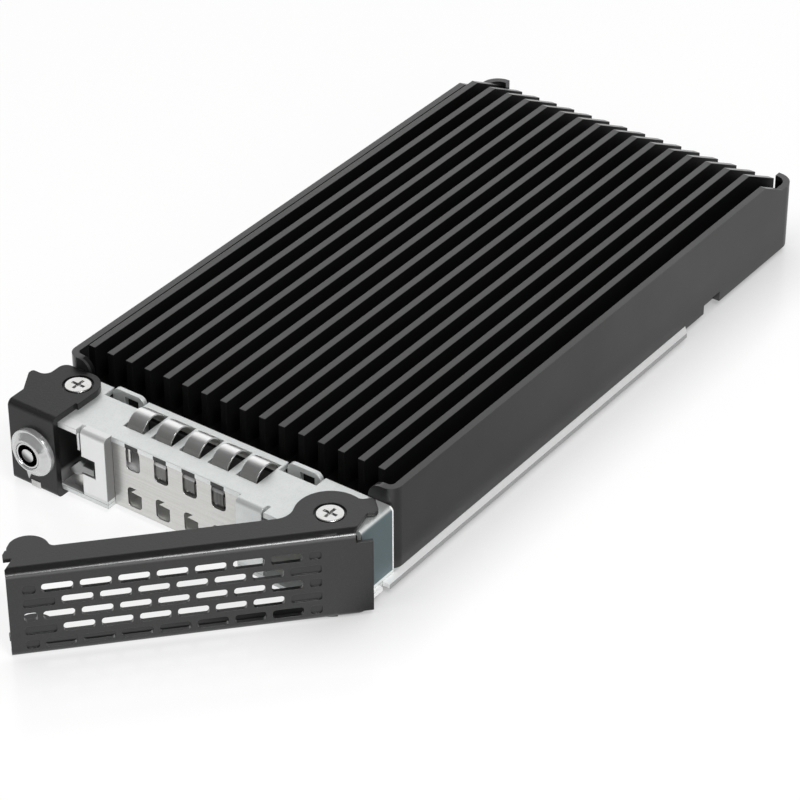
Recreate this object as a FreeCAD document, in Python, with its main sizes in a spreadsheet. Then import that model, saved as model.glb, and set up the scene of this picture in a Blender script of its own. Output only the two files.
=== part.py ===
import FreeCAD, Part
import math
import os
import re

# Hot-swap drive enclosure: a finned aluminium shell on a sliding steel tray, with a steel hood in front
# that carries a key lock on the left and a sprung swing handle on the right.
# Millimetres. +X points to the handle's pivot side, +Y from front to back, +Z up.
# The origin is on the tray's underside, in the middle, below the shell's front face.
# The handle is drawn part open, and that is its rest position.

SIZES = [
    # Fits that many pieces share
    ("cut_over", 1.0, "how far a cut runs past a face"),
    ("part_gap", 0.1, "gap between pieces that are bolted side by side"),
    ("snug_gap", 0.05, "close fit, and the radial play of a turning pin"),
    ("move_gap", 0.4, "gap between a moving piece and its neighbour"),
    # Finned shell
    ("body_width", 69.85, "shell width"),
    ("body_length", 130.0, "shell length"),
    ("body_height", 17.0, "fin tops above the tray underside"),
    ("front_round", 2.2, "front corners' radius in plan"),
    ("corner_round", 3.6, "rear corners' radius in plan"),
    ("wall_thick", 1.3, "upper side walls"),
    ("front_return", 5.2, "how far a front corner wraps along the front"),
    ("rear_return", 3.9, "how far a rear corner wraps along the rear"),
    ("rim_round", 2.6, "rounded ends of the wall tops at the front"),
    ("fin_count", 16, "number of fins"),
    ("fin_pitch", 4.14, "fin spacing"),
    ("fin_thick", 1.3, "fin thickness"),
    ("fin_inset", 1.55, "first fin in from the left side"),
    ("fin_depth", 7.2, "depth of the air channels"),
    ("fin_setback", 4.2, "fin front ends behind the front face"),
    ("fin_slope_run", 9.7, "length of the slope at the fins' rear ends"),
    ("fin_slope_drop", 5.1, "drop of that slope"),
    ("seam_depth", 0.6, "groove between the left wall and the first fin"),
    ("rear_flat", 5.3, "length of the low wall at the rear corners"),
    ("rear_slope_run", 6.5, "length of the slope down to the low wall"),
    ("rear_drop", 3.5, "drop of the low wall"),
    ("base_thick", 1.4, "metal between the channels and the drive bay"),
    ("rail_width", 9.5, "solid side rails beside the drive bay"),
    ("end_wall", 2.5, "end walls of the drive bay"),
    ("notch_from_rear", 27.0, "rear end of the notch under each side wall"),
    ("notch_length", 5.5, "length of that notch"),
    ("notch_height", 2.1, "height of that notch"),
    ("notch_deep", 1.4, "depth of that notch"),
    # Bottom cover and its screws
    ("cover_thick", 1.0, "bottom cover"),
    ("cover_lap", 3.6, "ledge that the bottom cover lies on"),
    ("cover_screw_rear", 12.0, "bottom cover screws in from the rear"),
    # Circuit board and what is on it
    ("board_thick", 1.0, "circuit board"),
    ("board_lift", 0.4, "board above the bottom cover"),
    ("board_margin", 1.2, "board edge to the bay's walls"),
    ("boss_round", 2.4, "radius of the board bosses"),
    ("boss_side", 3.6, "board bosses in from the board's long edges"),
    ("boss_front", 9.0, "front bosses behind the shell's front face"),
    ("boss_rear", 34.0, "rear bosses in from the shell's rear face"),
    ("boss_hole_deep", 3.6, "depth of the bosses' screw holes"),
    ("pad_thick", 0.8, "thermal pad"),
    ("card_width", 22.0, "width of the drive card that fits the bay"),
    ("card_length", 80.0, "length of that card"),
    ("card_seat", 16.5, "card's plug end in from the shell's rear face"),
    ("socket_front", 21.0, "socket's front in from the shell's rear face"),
    ("socket_deep", 8.5, "socket depth along the card"),
    ("socket_high", 4.1, "socket height"),
    ("socket_side", 0.6, "socket wall beside the card"),
    ("slot_low", 1.6, "card slot above the board"),
    ("slot_high", 1.2, "height of the card slot"),
    ("stand_round", 2.4, "radius of the card's stand"),
    ("chip_side", 7.0, "side of the board's chips"),
    ("chip_high", 1.0, "height of the board's chips"),
    ("chip_step", 11.0, "spacing of the board's chips"),
    ("chip_count", 3, "number of chips"),
    ("chip_front", 20.0, "chips behind the shell's front face"),
    ("plug_width", 36.0, "rear connector width"),
    ("plug_deep", 8.0, "rear connector depth"),
    ("plug_high", 4.4, "rear connector height"),
    ("plug_wall", 0.8, "rear connector wall"),
    ("plug_mouth", 5.0, "depth of the connector's mouth"),
    ("tongue_thick", 1.2, "tongue in the connector's mouth"),
    ("tongue_inset", 0.7, "tongue's ends and tip inside the mouth"),
    ("contact_count", 22, "contacts on each face of the tongue"),
    ("contact_pitch", 1.4, "contact spacing"),
    ("contact_wide", 0.7, "contact width"),
    ("contact_long", 3.6, "contact length"),
    ("contact_thick", 0.12, "contact thickness"),
    # Steel tray
    ("floor_thick", 0.8, "tray floor"),
    ("floor_reach", 91.0, "floor's rear end behind the shell's front face"),
    ("rail_out", 1.6, "rail flange beyond the shell's sides"),
    ("rail_start", 3.3, "rail flange ahead of the shell"),
    ("rail_taper", 2.0, "length of the rails' cut rear corners"),
    ("tab_out", 0.9, "small tabs beyond the floor's front part"),
    ("tab_front", 7.0, "front end of those tabs"),
    ("tab_rear", 4.4, "rear end of those tabs"),
    ("lug_left", 20.4, "left lug's middle, left of centre"),
    ("lug_right", 17.3, "right lug's middle, right of centre"),
    ("lug_wide", 6.9, "lug width"),
    ("lug_thick", 0.9, "lug thickness"),
    ("lug_rise", 0.8, "lug top above the hood"),
    ("lug_round", 1.3, "lug's upper corners"),
    ("lug_hole_wide", 3.0, "window in each lug"),
    ("lug_hole_side", 0.7, "that window right of the lug's middle"),
    ("lug_hole_high", 2.4, "height of that window"),
    ("lug_hole_drop", 1.0, "that window below the lug's top"),
    ("tray_screw_side", 3.1, "tray screws in from the shell's sides"),
    ("tray_screw_front", 12.0, "front tray screws behind the front face"),
    ("tray_screw_step", 68.0, "from the front to the rear tray screws"),
    # Steel hood
    ("sheet_thick", 1.0, "hood sheet"),
    ("deck_height", 14.1, "hood top above the tray underside"),
    ("bend_round", 0.9, "outer bend radius of the hood"),
    ("front_depth", 13.4, "pillars' front faces ahead of the shell"),
    ("recess_depth", 11.7, "hood's front edge between the pillars"),
    ("recess_left", 15.3, "left pillar's inner edge, left of centre"),
    ("recess_right", 12.6, "right pillar's inner edge, right of centre"),
    ("pillar_wide", 5.4, "pillar width"),
    ("tongue_slit", 0.7, "slit between a pillar and the tongue beside it"),
    ("tongue_front", 13.6, "left tongue's front edge ahead of the shell"),
    ("left_wall_front", 12.6, "left wall's front edge ahead of the shell"),
    ("lug_notch", 2.7, "notch for each lug in the hood's rear edge"),
    ("lug_play", 0.4, "room beside each lug"),
    ("window_wide", 4.5, "window for each spring finger"),
    ("window_front", 8.0, "windows' front ends"),
    ("window_rear", 1.5, "windows' rear ends"),
    # Vent strip with spring fingers
    ("strip_thick", 0.3, "vent strip"),
    ("strip_face", 11.5, "vent strip's front face ahead of the shell"),
    ("strip_lap", 1.0, "vent strip behind each pillar"),
    ("strip_rear", 1.15, "rear end of the strip's upper flange"),
    ("finger_count", 5, "spring fingers"),
    ("finger_mid", 1.35, "middle finger, left of centre"),
    ("finger_pitch", 6.04, "finger spacing"),
    ("finger_wide", 3.4, "finger width"),
    ("finger_front", 7.8, "fingers' front feet"),
    ("finger_rear", 1.65, "fingers' rear feet"),
    ("finger_rise", 1.8, "fingers above the hood"),
    ("vent_count", 5, "vent slots in each row"),
    ("vent_mid", 1.35, "middle vent slot, right of centre"),
    ("vent_pitch", 6.13, "vent slot spacing"),
    ("vent_wide", 3.05, "vent slot width"),
    ("vent_round", 0.85, "vent slot corners"),
    ("upper_vent_low", 8.6, "upper vent slots' lower ends"),
    ("upper_vent_top", 13.0, "upper vent slots' upper ends"),
    ("lower_vent_low", 1.0, "lower vent slots' lower ends"),
    ("lower_vent_top", 5.0, "lower vent slots' upper ends"),
    # Lock cover
    ("lock_sheet", 1.2, "lock cover sheet"),
    ("lock_bend", 1.1, "lock cover's outer bend radius"),
    ("lock_front", 14.9, "lock cover's front face ahead of the shell"),
    ("lock_out", 0.5, "lock cover beyond the shell's left side"),
    ("cover_span", 9.6, "lock cover's right edge in from the left side"),
    ("ear_out", 3.1, "lock cover's ear beyond the shell's left side"),
    ("ear_start", 10.8, "front end of the ear"),
    ("ear_mid", 6.5, "ear's tip"),
    ("ear_rear", 5.4, "rear end of the ear"),
    ("ear_round", 0.5, "ear's corners"),
    ("ear_sweep", 1.6, "hollow curve behind the ear, and the rear corner"),
    ("cover_rear", 0.6, "lock cover's rear edge ahead of the shell"),
    ("cover_arc", 3.9, "lock cover's round corner about its screw"),
    ("cover_step", 8.9, "front end of that corner's straight side"),
    ("cover_screw_side", 6.2, "lock cover screw in from the left side"),
    ("cover_screw_ahead", 4.3, "lock cover screw ahead of the shell"),
    ("nut_round", 2.2, "radius of the nuts under that screw"),
    ("nut_high", 1.2, "height of those nuts"),
    # Lock
    ("lock_inset", 4.9, "lock axis in from the left side"),
    ("bezel_round", 4.5, "radius of the lock's bezel"),
    ("bezel_thick", 2.1, "bezel ahead of the lock cover"),
    ("bezel_edge", 1.8, "rounding of the bezel's rim"),
    ("barrel_round", 3.3, "radius of the lock barrel"),
    ("barrel_rear", 5.5, "barrel's rear end ahead of the shell"),
    ("plug_round", 2.45, "radius of the turning plug"),
    ("plug_sink", 0.25, "plug's face behind the bezel's"),
    ("key_outer", 2.15, "outer radius of the ring-shaped keyway"),
    ("key_inner", 1.25, "radius of the keyway's post"),
    ("key_deep", 2.5, "depth of the keyway"),
    ("block_side", 4.0, "lock block right of the lock axis"),
    ("block_front", 13.5, "lock block's front face ahead of the shell"),
    ("block_rear", 6.7, "lock block's rear face ahead of the shell"),
    ("clip_round", 3.75, "radius of the barrel's clip"),
    ("clip_thick", 0.8, "clip thickness"),
    ("cam_front", 4.5, "cam's front face ahead of the shell"),
    ("cam_thick", 1.2, "cam thickness"),
    ("cam_round", 2.6, "cam radius"),
    ("cam_throw", 1.0, "cam's centre off the lock axis"),
    ("bolt_lift", 1.414, "bolt's travel for a quarter turn of the key"),
    ("bolt_thick", 1.0, "bolt sheet"),
    ("bolt_low", 0.5, "bolt above the floor"),
    ("stem_wide", 1.3, "width of the bolt's stem"),
    ("stem_gap", 0.2, "stem beside the left pillar"),
    ("tooth_high", 1.4, "height of the tooth"),
    ("tooth_left", 1.3, "tooth beyond the stem's left side"),
    ("tooth_right", 2.6, "tooth beyond the left pillar's outer edge"),
    ("tooth_ahead", 0.1, "tooth ahead of the pillar"),
    ("tooth_nose", 0.9, "slope of the tooth's left end"),
    ("tail_left", 1.5, "bolt's tail left of the lock axis"),
    ("tail_gap", 0.3, "bolt's tail behind the plug"),
    ("bolt_slot_right", 2.9, "pillar slot's depth for the tooth"),
    # Handle
    ("open_angle", 46.9, "handle's opening at rest, in degrees"),
    ("pivot_inset", 6.4, "handle pivot in from the right side"),
    ("pivot_ahead", 8.7, "handle pivot ahead of the shell"),
    ("swing_round", 5.0, "hood and floor corner about the pivot"),
    ("swing_over", 5.0, "handle's travel past its opening at rest, in degrees"),
    ("handle_thick", 0.75, "handle sheet"),
    ("handle_play", 0.5, "handle flanges off the hood and the floor"),
    ("handle_gap", 0.8, "closed handle beside the lock cover"),
    ("handle_bend", 1.15, "handle's outer bend radius"),
    ("face_out", 6.5, "handle's front face ahead of its pivot"),
    ("flange_in", 0.05, "flange edge behind the pivot"),
    ("low_depth", 4.6, "depth of the lower flange behind the face"),
    ("low_round", 1.5, "corners where the lower flange widens to its ends"),
    ("flange_end", 3.07, "end of the bends beyond the pivot"),
    ("face_end", 5.9, "face's end beyond the pivot"),
    ("face_low", 0.4, "lower edge of the face's end, below the floor"),
    ("face_top", 13.55, "upper edge of the face's end"),
    ("lobe_round", 6.05, "handle's round end about its pivot"),
    ("lobe_sweep", 3.5, "hollow curve from the flange to that end"),
    ("cam_reach", 7.85, "ejector tooth beyond the pivot"),
    ("cam_low", 1.15, "ejector tooth's front side, ahead of the pivot"),
    ("cam_high", 2.7, "ejector tooth's rear side, behind the pivot"),
    ("cam_edge", 0.7, "ejector tooth's corners"),
    ("cam_sweep", 1.2, "hollow curve from the round end to the tooth"),
    ("bump_inset", 4.2, "middle of the left end's bump, in from that end"),
    ("bump_round", 3.45, "radius of that bump"),
    ("bump_sweep", 1.0, "hollow curve from the flange to that bump"),
    ("hook_front", 1.0, "front end of the bump's slope, ahead of the pivot"),
    ("hook_in", 1.55, "rear end of the bump's slope, in from the left end"),
    ("hook_rear", 2.3, "rear end of the bump's slope, behind the pivot"),
    ("bite_rear", 2.1, "left end's notch, ahead of the pivot"),
    ("bite_front", 5.0, "front end of that notch, ahead of the pivot"),
    ("bite_deep", 1.6, "depth of that notch"),
    ("bite_round", 0.25, "bottom of that notch"),
    ("bend_run", 1.56, "slope of the lower bend's right end, along for each unit up"),
    ("grille_left", 2.4, "grille in from the handle's left end"),
    ("grille_right", 2.6, "grille's right end before the pivot"),
    ("grille_columns", 8, "slots in a full row"),
    ("grille_rows", 5, "rows of slots"),
    ("grille_mid", 6.55, "middle row above the tray underside"),
    ("grille_step", 2.74, "row spacing"),
    ("slot_web", 1.05, "metal between two slots of a row"),
    ("slot_tall", 1.68, "slot height"),
    ("slot_round", 0.55, "slot corners"),
    ("blind_deep", 0.25, "depth of the blind slots at the grille's ends"),
    ("half_left", 2.15, "half slot at a row's left end"),
    ("half_right", 1.95, "half slot at a row's right end"),
    ("catch_inset", 0.85, "catch in from the handle's left end"),
    ("catch_thick", 1.0, "catch plate"),
    ("catch_foot", 0.5, "thickness of the catch's foot"),
    ("catch_high", 1.2, "height of the catch's arm"),
    ("barb_front", 2.3, "catch's barb ahead of the pivot"),
    ("barb_rear", 0.7, "catch's rear end ahead of the pivot"),
    ("post_round", 2.5, "radius of the pivot post"),
    ("washer_round", 3.4, "radius of the pivot washers"),
    ("washer_thick", 0.45, "pivot washers"),
    ("coil_outer", 3.7, "outer radius of the torsion spring"),
    ("coil_inner", 2.9, "inner radius of the torsion spring"),
    ("coil_low", 4.6, "torsion spring's lower end"),
    ("coil_top", 8.8, "torsion spring's upper end"),
    # Screws
    ("head_round", 2.35, "radius of the flat screw heads"),
    ("head_high", 0.4, "height of those heads"),
    ("head_edge", 0.2, "rounding of those heads"),
    ("head_room", 0.4, "ring of room round a sunk head"),
    ("shank_round", 1.2, "radius of the large screws"),
    ("shoulder_round", 1.7, "radius of the pivot screws' shoulders"),
    ("shank_long", 4.0, "thread length of the pivot screws"),
    ("recess_wide", 0.55, "arm width of the cross recess"),
    ("recess_span", 2.7, "span of the cross recess"),
    ("recess_deep", 0.3, "depth of the cross recess"),
    ("small_head", 1.8, "radius of the small screw heads"),
    ("small_high", 0.7, "height of the small screw heads"),
    ("small_shank", 0.8, "radius of the small screws"),
    ("small_long", 3.2, "thread length of the small screws"),
]

doc = FreeCAD.newDocument("drive_enclosure")
sheet = doc.addObject("Spreadsheet::Sheet", "dims")
for row, (alias, value, note) in enumerate(SIZES, start=1):
    sheet.set(f"A{row}", note)
    sheet.set(f"B{row}", str(value))
    sheet.setAlias(f"B{row}", alias)
doc.recompute()

NAMES = {alias for alias, value, note in SIZES}
AXES = {
    "x": FreeCAD.Vector(1, 0, 0),
    "y": FreeCAD.Vector(0, 1, 0),
    "z": FreeCAD.Vector(0, 0, 1),
}
TURNS = {
    "x": FreeCAD.Rotation(AXES["y"], 90),
    "y": FreeCAD.Rotation(AXES["x"], -90),
    "z": FreeCAD.Rotation(),
}
NEAR = 0.001
SPOT = 0.2
NODES = []


# Helpers: solids whose sizes and places are sums of the sheet's names


def cell(alias):
    return float(getattr(sheet, alias))


def formula(text):
    """The same sum, with each size's name pointing at its cell."""
    def linked(word):
        return "dims." + word.group() if word.group() in NAMES else word.group()
    return re.sub(r"[a-z][a-z_]*", linked, text)


def bind(item, **sums):
    for name, text in sums.items():
        item.setExpression(name, formula(text))
    return item


def place(item, x, y, z):
    for axis, text in zip("xyz", (x, y, z)):
        item.setExpression(".Placement.Base." + axis, formula(text))
    return item


def run(span):
    return f"({span[1]}) - ({span[0]})"


def past(span):
    """A span that runs past both ends of another, for a cut."""
    return (f"{span[0]} - cut_over", f"{span[1]} + cut_over")


def block(x, y, z):
    """Box between three (low, high) pairs of sums."""
    item = doc.addObject("Part::Box", "Block")
    bind(item, Length=run(x), Width=run(y), Height=run(z))
    return place(item, x[0], y[0], z[0])


def rod(axis, first, second, span, radius):
    """Round bar along an axis; first and second place its centre on the other two axes, in X, Y, Z order."""
    item = doc.addObject("Part::Cylinder", "Rod")
    item.Placement = FreeCAD.Placement(FreeCAD.Vector(), TURNS[axis])
    bind(item, Radius=radius, Height=run(span))
    spot = [first, second]
    spot.insert("xyz".index(axis), span[0])
    return place(item, *spot)


def cone(x, y, span, low_radius, top_radius):
    item = doc.addObject("Part::Cone", "Cone")
    bind(item, Radius1=low_radius, Radius2=top_radius, Height=run(span))
    return place(item, x, y, span[0])


def wedge(y, x_front, x_rear, z_front, z_rear):
    """Block along Y whose X and Z limits change evenly from its front end to its rear end."""
    item = doc.addObject("Part::Wedge", "Wedge")
    bind(item, Ymin=y[0], Ymax=y[1])
    bind(item, Xmin=x_front[0], Xmax=x_front[1], X2min=x_rear[0], X2max=x_rear[1])
    bind(item, Zmin=z_front[0], Zmax=z_front[1], Z2min=z_rear[0], Z2max=z_rear[1])
    return item


def join(*items):
    if len(items) == 1:
        return items[0]
    item = doc.addObject("Part::MultiFuse", "Join")
    item.Shapes = list(items)
    item.Refine = True
    return item


def cut(base, *tools):
    item = doc.addObject("Part::Cut", "Trim")
    item.Base = base
    item.Tool = join(*tools)
    item.Refine = True
    return item


def common(base, tool):
    item = doc.addObject("Part::Common", "Overlap")
    item.Base = base
    item.Tool = tool
    return item


def group(*items):
    item = doc.addObject("Part::Compound", "Group")
    item.Links = list(items)
    return item


def rounded(base, radius, wanted):
    """Base with a fillet on each edge that the test wants."""
    doc.recompute()
    box = base.Shape.BoundBox
    numbers = [number for number, edge in enumerate(base.Shape.Edges, start=1) if wanted(edge, box)]
    if not numbers:
        raise ValueError("no edge to round on " + base.Name)
    item = doc.addObject("Part::Fillet", "Round")
    item.Base = base
    item.Edges = [(number, radius, radius) for number in numbers]
    return item


def runs(edge, axis):
    if len(edge.Vertexes) < 2 or edge.Curve.TypeId != "Part::GeomLine":
        return False
    way = edge.Vertexes[1].Point - edge.Vertexes[0].Point
    return abs(way.dot(AXES[axis])) > (1 - NEAR) * way.Length


def upright(edge, box):
    return runs(edge, "z")


def front_corners(edge, box):
    return runs(edge, "z") and edge.BoundBox.YMax < box.YMin + NEAR


def rear_corners(edge, box):
    return runs(edge, "z") and edge.BoundBox.YMin > box.YMax - NEAR


def cross_wise(edge, box):
    return runs(edge, "y")


def top_ends(edge, box):
    return runs(edge, "y") and edge.BoundBox.ZMin > box.ZMax - NEAR


def rim_ends(edge, box):
    return top_ends(edge, box) and edge.BoundBox.YMax < box.YMin + cell("wall_thick") + NEAR


def front_top(edge, box):
    at_front = edge.BoundBox.YMax < box.YMin + NEAR
    return runs(edge, "x") and at_front and edge.BoundBox.ZMin > box.ZMax - NEAR


def front_folds(edge, box):
    at_front = edge.BoundBox.YMax < box.YMin + NEAR
    at_end = edge.BoundBox.ZMin > box.ZMax - NEAR or edge.BoundBox.ZMax < box.ZMin + NEAR
    return runs(edge, "x") and at_front and at_end


def side_folds(edge, box):
    at_side = edge.BoundBox.XMin > box.XMax - NEAR or edge.BoundBox.XMax < box.XMin + NEAR
    return runs(edge, "y") and at_side and edge.BoundBox.ZMin > box.ZMax - NEAR


def corner_at(x, y):
    """Test for the upright edge at a spot."""
    def wanted(edge, box):
        middle = edge.BoundBox.Center
        return runs(edge, "z") and abs(middle.x - x) < SPOT and abs(middle.y - y) < SPOT
    return wanted


def upper_rim(edge, box):
    return edge.BoundBox.ZMin > box.ZMax - NEAR


def front_rim(edge, box):
    return edge.BoundBox.YMax < box.YMin + NEAR and edge.BoundBox.XLength > box.XLength - NEAR


def node(label, item):
    item.Label = label
    NODES.append(item)


def screw(head, high, shank, length, edge):
    """Screw along Z with its head's outer face at zero and its thread below."""
    cap = rounded(rod("z", "0", "0", (f"-({high})", "0"), head), edge, upper_rim)
    thread = rod("z", "0", "0", (f"-({high}) - ({length})", f"-({high})"), shank)
    return cross_cut(join(cap, thread))


def cross_cut(item):
    """Cross recess in a face at zero."""
    half_span = ("-recess_span/2", "recess_span/2")
    half_wide = ("-recess_wide/2", "recess_wide/2")
    depth = ("-recess_deep", "cut_over")
    return cut(item, block(half_span, half_wide, depth), block(half_wide, half_span, depth))


def turned(item, axis, angle):
    item.Placement = FreeCAD.Placement(FreeCAD.Vector(), FreeCAD.Rotation(AXES[axis], angle))
    return item


def repeated(count, pitch, middle):
    """Sums for the middles of evenly spaced features about one place."""
    total = int(cell(count))
    return [f"{middle} + ({step} - {(total - 1) / 2}) * {pitch}" for step in range(total)]


# Places that several pieces share

LEFT = "-body_width/2"
RIGHT = "body_width/2"
WHOLE_WIDTH = (LEFT + " - cut_over", RIGHT + " + cut_over")
CHANNEL = "body_height - fin_depth"
CEILING = CHANNEL + " - base_thick"
BAY_SIDE = "(body_width/2 - rail_width)"
COVER_TOP = "floor_thick + cover_thick"
BOARD_LOW = COVER_TOP + " + board_lift"
BOARD_TOP = BOARD_LOW + " + board_thick"
BOARD_SIDE = f"({BAY_SIDE} - board_margin)"
BOSS_X = f"({BOARD_SIDE} - boss_side)"
BOSSES = [(f"{side}{BOSS_X}", y) for side in ("-", "") for y in ("boss_front", "body_length - boss_rear")]
PLUG_TOP = BOARD_TOP + " + plug_high"
TRAY_SCREW_X = "(body_width/2 - tray_screw_side)"
TRAY_SCREW_YS = ("tray_screw_front", "tray_screw_front + tray_screw_step")
TRAY_SCREWS = [(f"{side}{TRAY_SCREW_X}", y) for side in ("-", "") for y in TRAY_SCREW_YS]
COVER_SCREW_X = f"({BAY_SIDE} + cover_lap/2)"
COVER_SCREWS = [(f"{side}{COVER_SCREW_X}", "body_length - cover_screw_rear") for side in ("-", "")]
DECK_LOW = "deck_height - sheet_thick"
DECK = (DECK_LOW, "deck_height")
HOOD_WALL = ("floor_thick", "deck_height")
PIVOT_X = "(body_width/2 - pivot_inset)"
PIVOT_Y = "-pivot_ahead"
FACE_INNER = "(face_out - handle_thick - move_gap)"
OPENED = "(open_angle + swing_over)"
SIDE_FRONT = f"({PIVOT_Y} + max(0; (pivot_inset*sin({OPENED}) - {FACE_INNER})/cos({OPENED})))"
LOCK_X = "(lock_inset - body_width/2)"
LOCK_Z = f"((floor_thick + {DECK_LOW})/2)"
TOOTH_Z = (LOCK_Z + " - tooth_high", LOCK_Z)
PILLAR_LEFT = "(-recess_left - pillar_wide)"
PILLAR_RIGHT = "(recess_right + pillar_wide)"
LUGS = ("-lug_left", "lug_right")
COVER_SCREW_SPOT = ("cover_screw_side - body_width/2", "-cover_screw_ahead")


# Finned shell: rounded walls, fins between them, and the drive bay below


def fin_boxes():
    for step in range(int(cell("fin_count"))):
        left = f"{LEFT} + fin_inset + {step} * fin_pitch"
        yield block((left, left + " + fin_thick"), ("fin_setback", "body_length"), (CEILING, "body_height"))


def shell_walls():
    outer = block((LEFT, RIGHT), ("0", "body_length"), ("0", "body_height"))
    outer = rounded(outer, cell("front_round"), front_corners)
    outer = rounded(outer, cell("corner_round"), rear_corners)
    well = block(
        (LEFT + " + wall_thick", RIGHT + " - wall_thick"),
        ("wall_thick", "body_length - wall_thick"),
        (CHANNEL, "body_height + cut_over"),
    )
    well = rounded(well, cell("front_round") - cell("wall_thick"), front_corners)
    well = rounded(well, cell("corner_round") - cell("wall_thick"), rear_corners)
    over = "body_height + cut_over"
    open_front = block(
        (LEFT + " + front_return", RIGHT + " - front_return"),
        ("-cut_over", "body_length/2"),
        (CHANNEL, over),
    )
    open_rear = block(
        (LEFT + " + rear_return", RIGHT + " - rear_return"),
        ("body_length/2", "body_length + cut_over"),
        (CHANNEL, over),
    )
    rear = wedge(
        ("body_length - rear_flat - rear_slope_run", "body_length - rear_flat"), WHOLE_WIDTH, WHOLE_WIDTH,
        ("body_height", over), ("body_height - rear_drop", over),
    )
    rear_low = block(
        WHOLE_WIDTH, ("body_length - rear_flat", "body_length + cut_over"), ("body_height - rear_drop", over)
    )
    walls = cut(outer, well, open_front, open_rear, rear, rear_low)
    return rounded(walls, cell("rim_round"), rim_ends)


def shell_fins():
    seam = block(
        (LEFT + " + wall_thick", LEFT + " + fin_inset"),
        ("fin_setback", "body_length - rear_flat - rear_slope_run"),
        (CEILING, "body_height - seam_depth"),
    )
    slope = wedge(
        ("body_length - fin_slope_run", "body_length"), WHOLE_WIDTH, WHOLE_WIDTH,
        ("body_height", "body_height + cut_over"),
        ("body_height - fin_slope_drop", "body_height + cut_over"),
    )
    return join(cut(join(*fin_boxes()), slope), seam)


def drive_bay():
    space = block(
        ("-" + BAY_SIDE, BAY_SIDE), ("end_wall", "body_length - end_wall"), ("-cut_over", CEILING)
    )
    bosses = [rod("z", x, y, (BOARD_TOP, CEILING), "boss_round") for x, y in BOSSES]
    return cut(space, *bosses)


def shell_notch(side):
    near = f"{side}(body_width/2 - notch_deep)"
    far = f"{side}(body_width/2 + cut_over)"
    x = (far, near) if side == "-" else (near, far)
    y = ("body_length - notch_from_rear - notch_length", "body_length - notch_from_rear")
    return block(x, y, ("-cut_over", "notch_height"))


ledge = block(
    (f"-{BAY_SIDE} - cover_lap", f"{BAY_SIDE} + cover_lap"),
    ("end_wall/2", "body_length - end_wall/2"),
    ("-cut_over", COVER_TOP),
)
tray_seat = block(WHOLE_WIDTH, ("-cut_over", "floor_reach + part_gap"), ("-cut_over", "floor_thick"))
plug_window = block(
    ("-plug_width/2 - part_gap", "plug_width/2 + part_gap"),
    ("body_length - end_wall - cut_over", "body_length + cut_over"),
    (BOARD_TOP + " - part_gap", PLUG_TOP + " + part_gap"),
)
shell_holes = [
    rod("z", x, y, ("0", "floor_thick + shank_long + cut_over"), "shank_round + snug_gap")
    for x, y in TRAY_SCREWS
]
shell_holes += [
    rod("z", x, y, (BOARD_LOW, BOARD_TOP + " + boss_hole_deep"), "small_shank + snug_gap")
    for x, y in BOSSES
]
shell_holes += [
    rod("z", x, y, ("0", COVER_TOP + " + small_long"), "small_shank + snug_gap")
    for x, y in COVER_SCREWS
]
shell = cut(
    join(shell_walls(), shell_fins()),
    drive_bay(), ledge, tray_seat, plug_window, shell_notch("-"), shell_notch(""), *shell_holes,
)
node("heatsink_shell", shell)


# Bottom cover, with two sunk screws behind the tray floor

cover_plate = block(
    (f"-{BAY_SIDE} - cover_lap + part_gap", f"{BAY_SIDE} + cover_lap - part_gap"),
    ("end_wall/2 + part_gap", "body_length - end_wall/2 - part_gap"),
    ("floor_thick", COVER_TOP),
)
cover_holes = [
    cone(x, y, ("floor_thick", COVER_TOP), "small_head + snug_gap", "small_shank + snug_gap")
    for x, y in COVER_SCREWS
]
node("bottom_cover", cut(cover_plate, *cover_holes))


def sunk_screw(x, y, base, top, head, shank, length):
    """Countersunk screw whose head fills a sheet from base to top and whose thread goes up."""
    cap = cone(x, y, (base, top), head, shank)
    thread = rod("z", x, y, (top, f"{top} + {length}"), shank)
    depth = (f"{base} - cut_over", f"{base} + recess_deep")
    arm = (f"{x} - recess_wide/2", f"{x} + recess_wide/2")
    reach = (f"{x} - {head}/2", f"{x} + {head}/2")
    slot_one = block(reach, (f"{y} - recess_wide/2", f"{y} + recess_wide/2"), depth)
    slot_two = block(arm, (f"{y} - {head}/2", f"{y} + {head}/2"), depth)
    return cut(join(cap, thread), slot_one, slot_two)


node("cover_screws", group(*[
    sunk_screw(x, y, "floor_thick", COVER_TOP, "small_head", "small_shank", "small_long - snug_gap")
    for x, y in COVER_SCREWS
]))


# Circuit board under the drive, held to the shell's bosses from below

board = block(
    ("-" + BOARD_SIDE, BOARD_SIDE),
    ("end_wall + board_margin", "body_length - end_wall - part_gap"),
    (BOARD_LOW, BOARD_TOP),
)
board_holes = [
    cone(x, y, (BOARD_LOW, BOARD_TOP), "small_head + snug_gap", "small_shank + snug_gap") for x, y in BOSSES
]
node("adapter_board", cut(board, *board_holes))
node("board_screws", group(*[
    sunk_screw(x, y, BOARD_LOW, BOARD_TOP, "small_head", "small_shank", "small_long") for x, y in BOSSES
]))

chips = [
    block(
        (f"{middle} - chip_side/2", f"{middle} + chip_side/2"),
        ("chip_front", "chip_front + chip_side"),
        (BOARD_TOP, BOARD_TOP + " + chip_high"),
    )
    for middle in repeated("chip_count", "chip_step", "0")
]
node("board_chips", group(*chips))


# Socket and stand for the drive card, and the soft pad above it

SOCKET = ("body_length - socket_front", "body_length - socket_front + socket_deep")
socket = block(
    ("-card_width/2 - socket_side", "card_width/2 + socket_side"),
    SOCKET,
    (BOARD_TOP, BOARD_TOP + " + socket_high"),
)
card_slot = block(
    ("-card_width/2", "card_width/2"),
    (SOCKET[0] + " - cut_over", "body_length - card_seat"),
    (BOARD_TOP + " + slot_low", BOARD_TOP + " + slot_low + slot_high"),
)
node("card_socket", cut(socket, card_slot))

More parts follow.
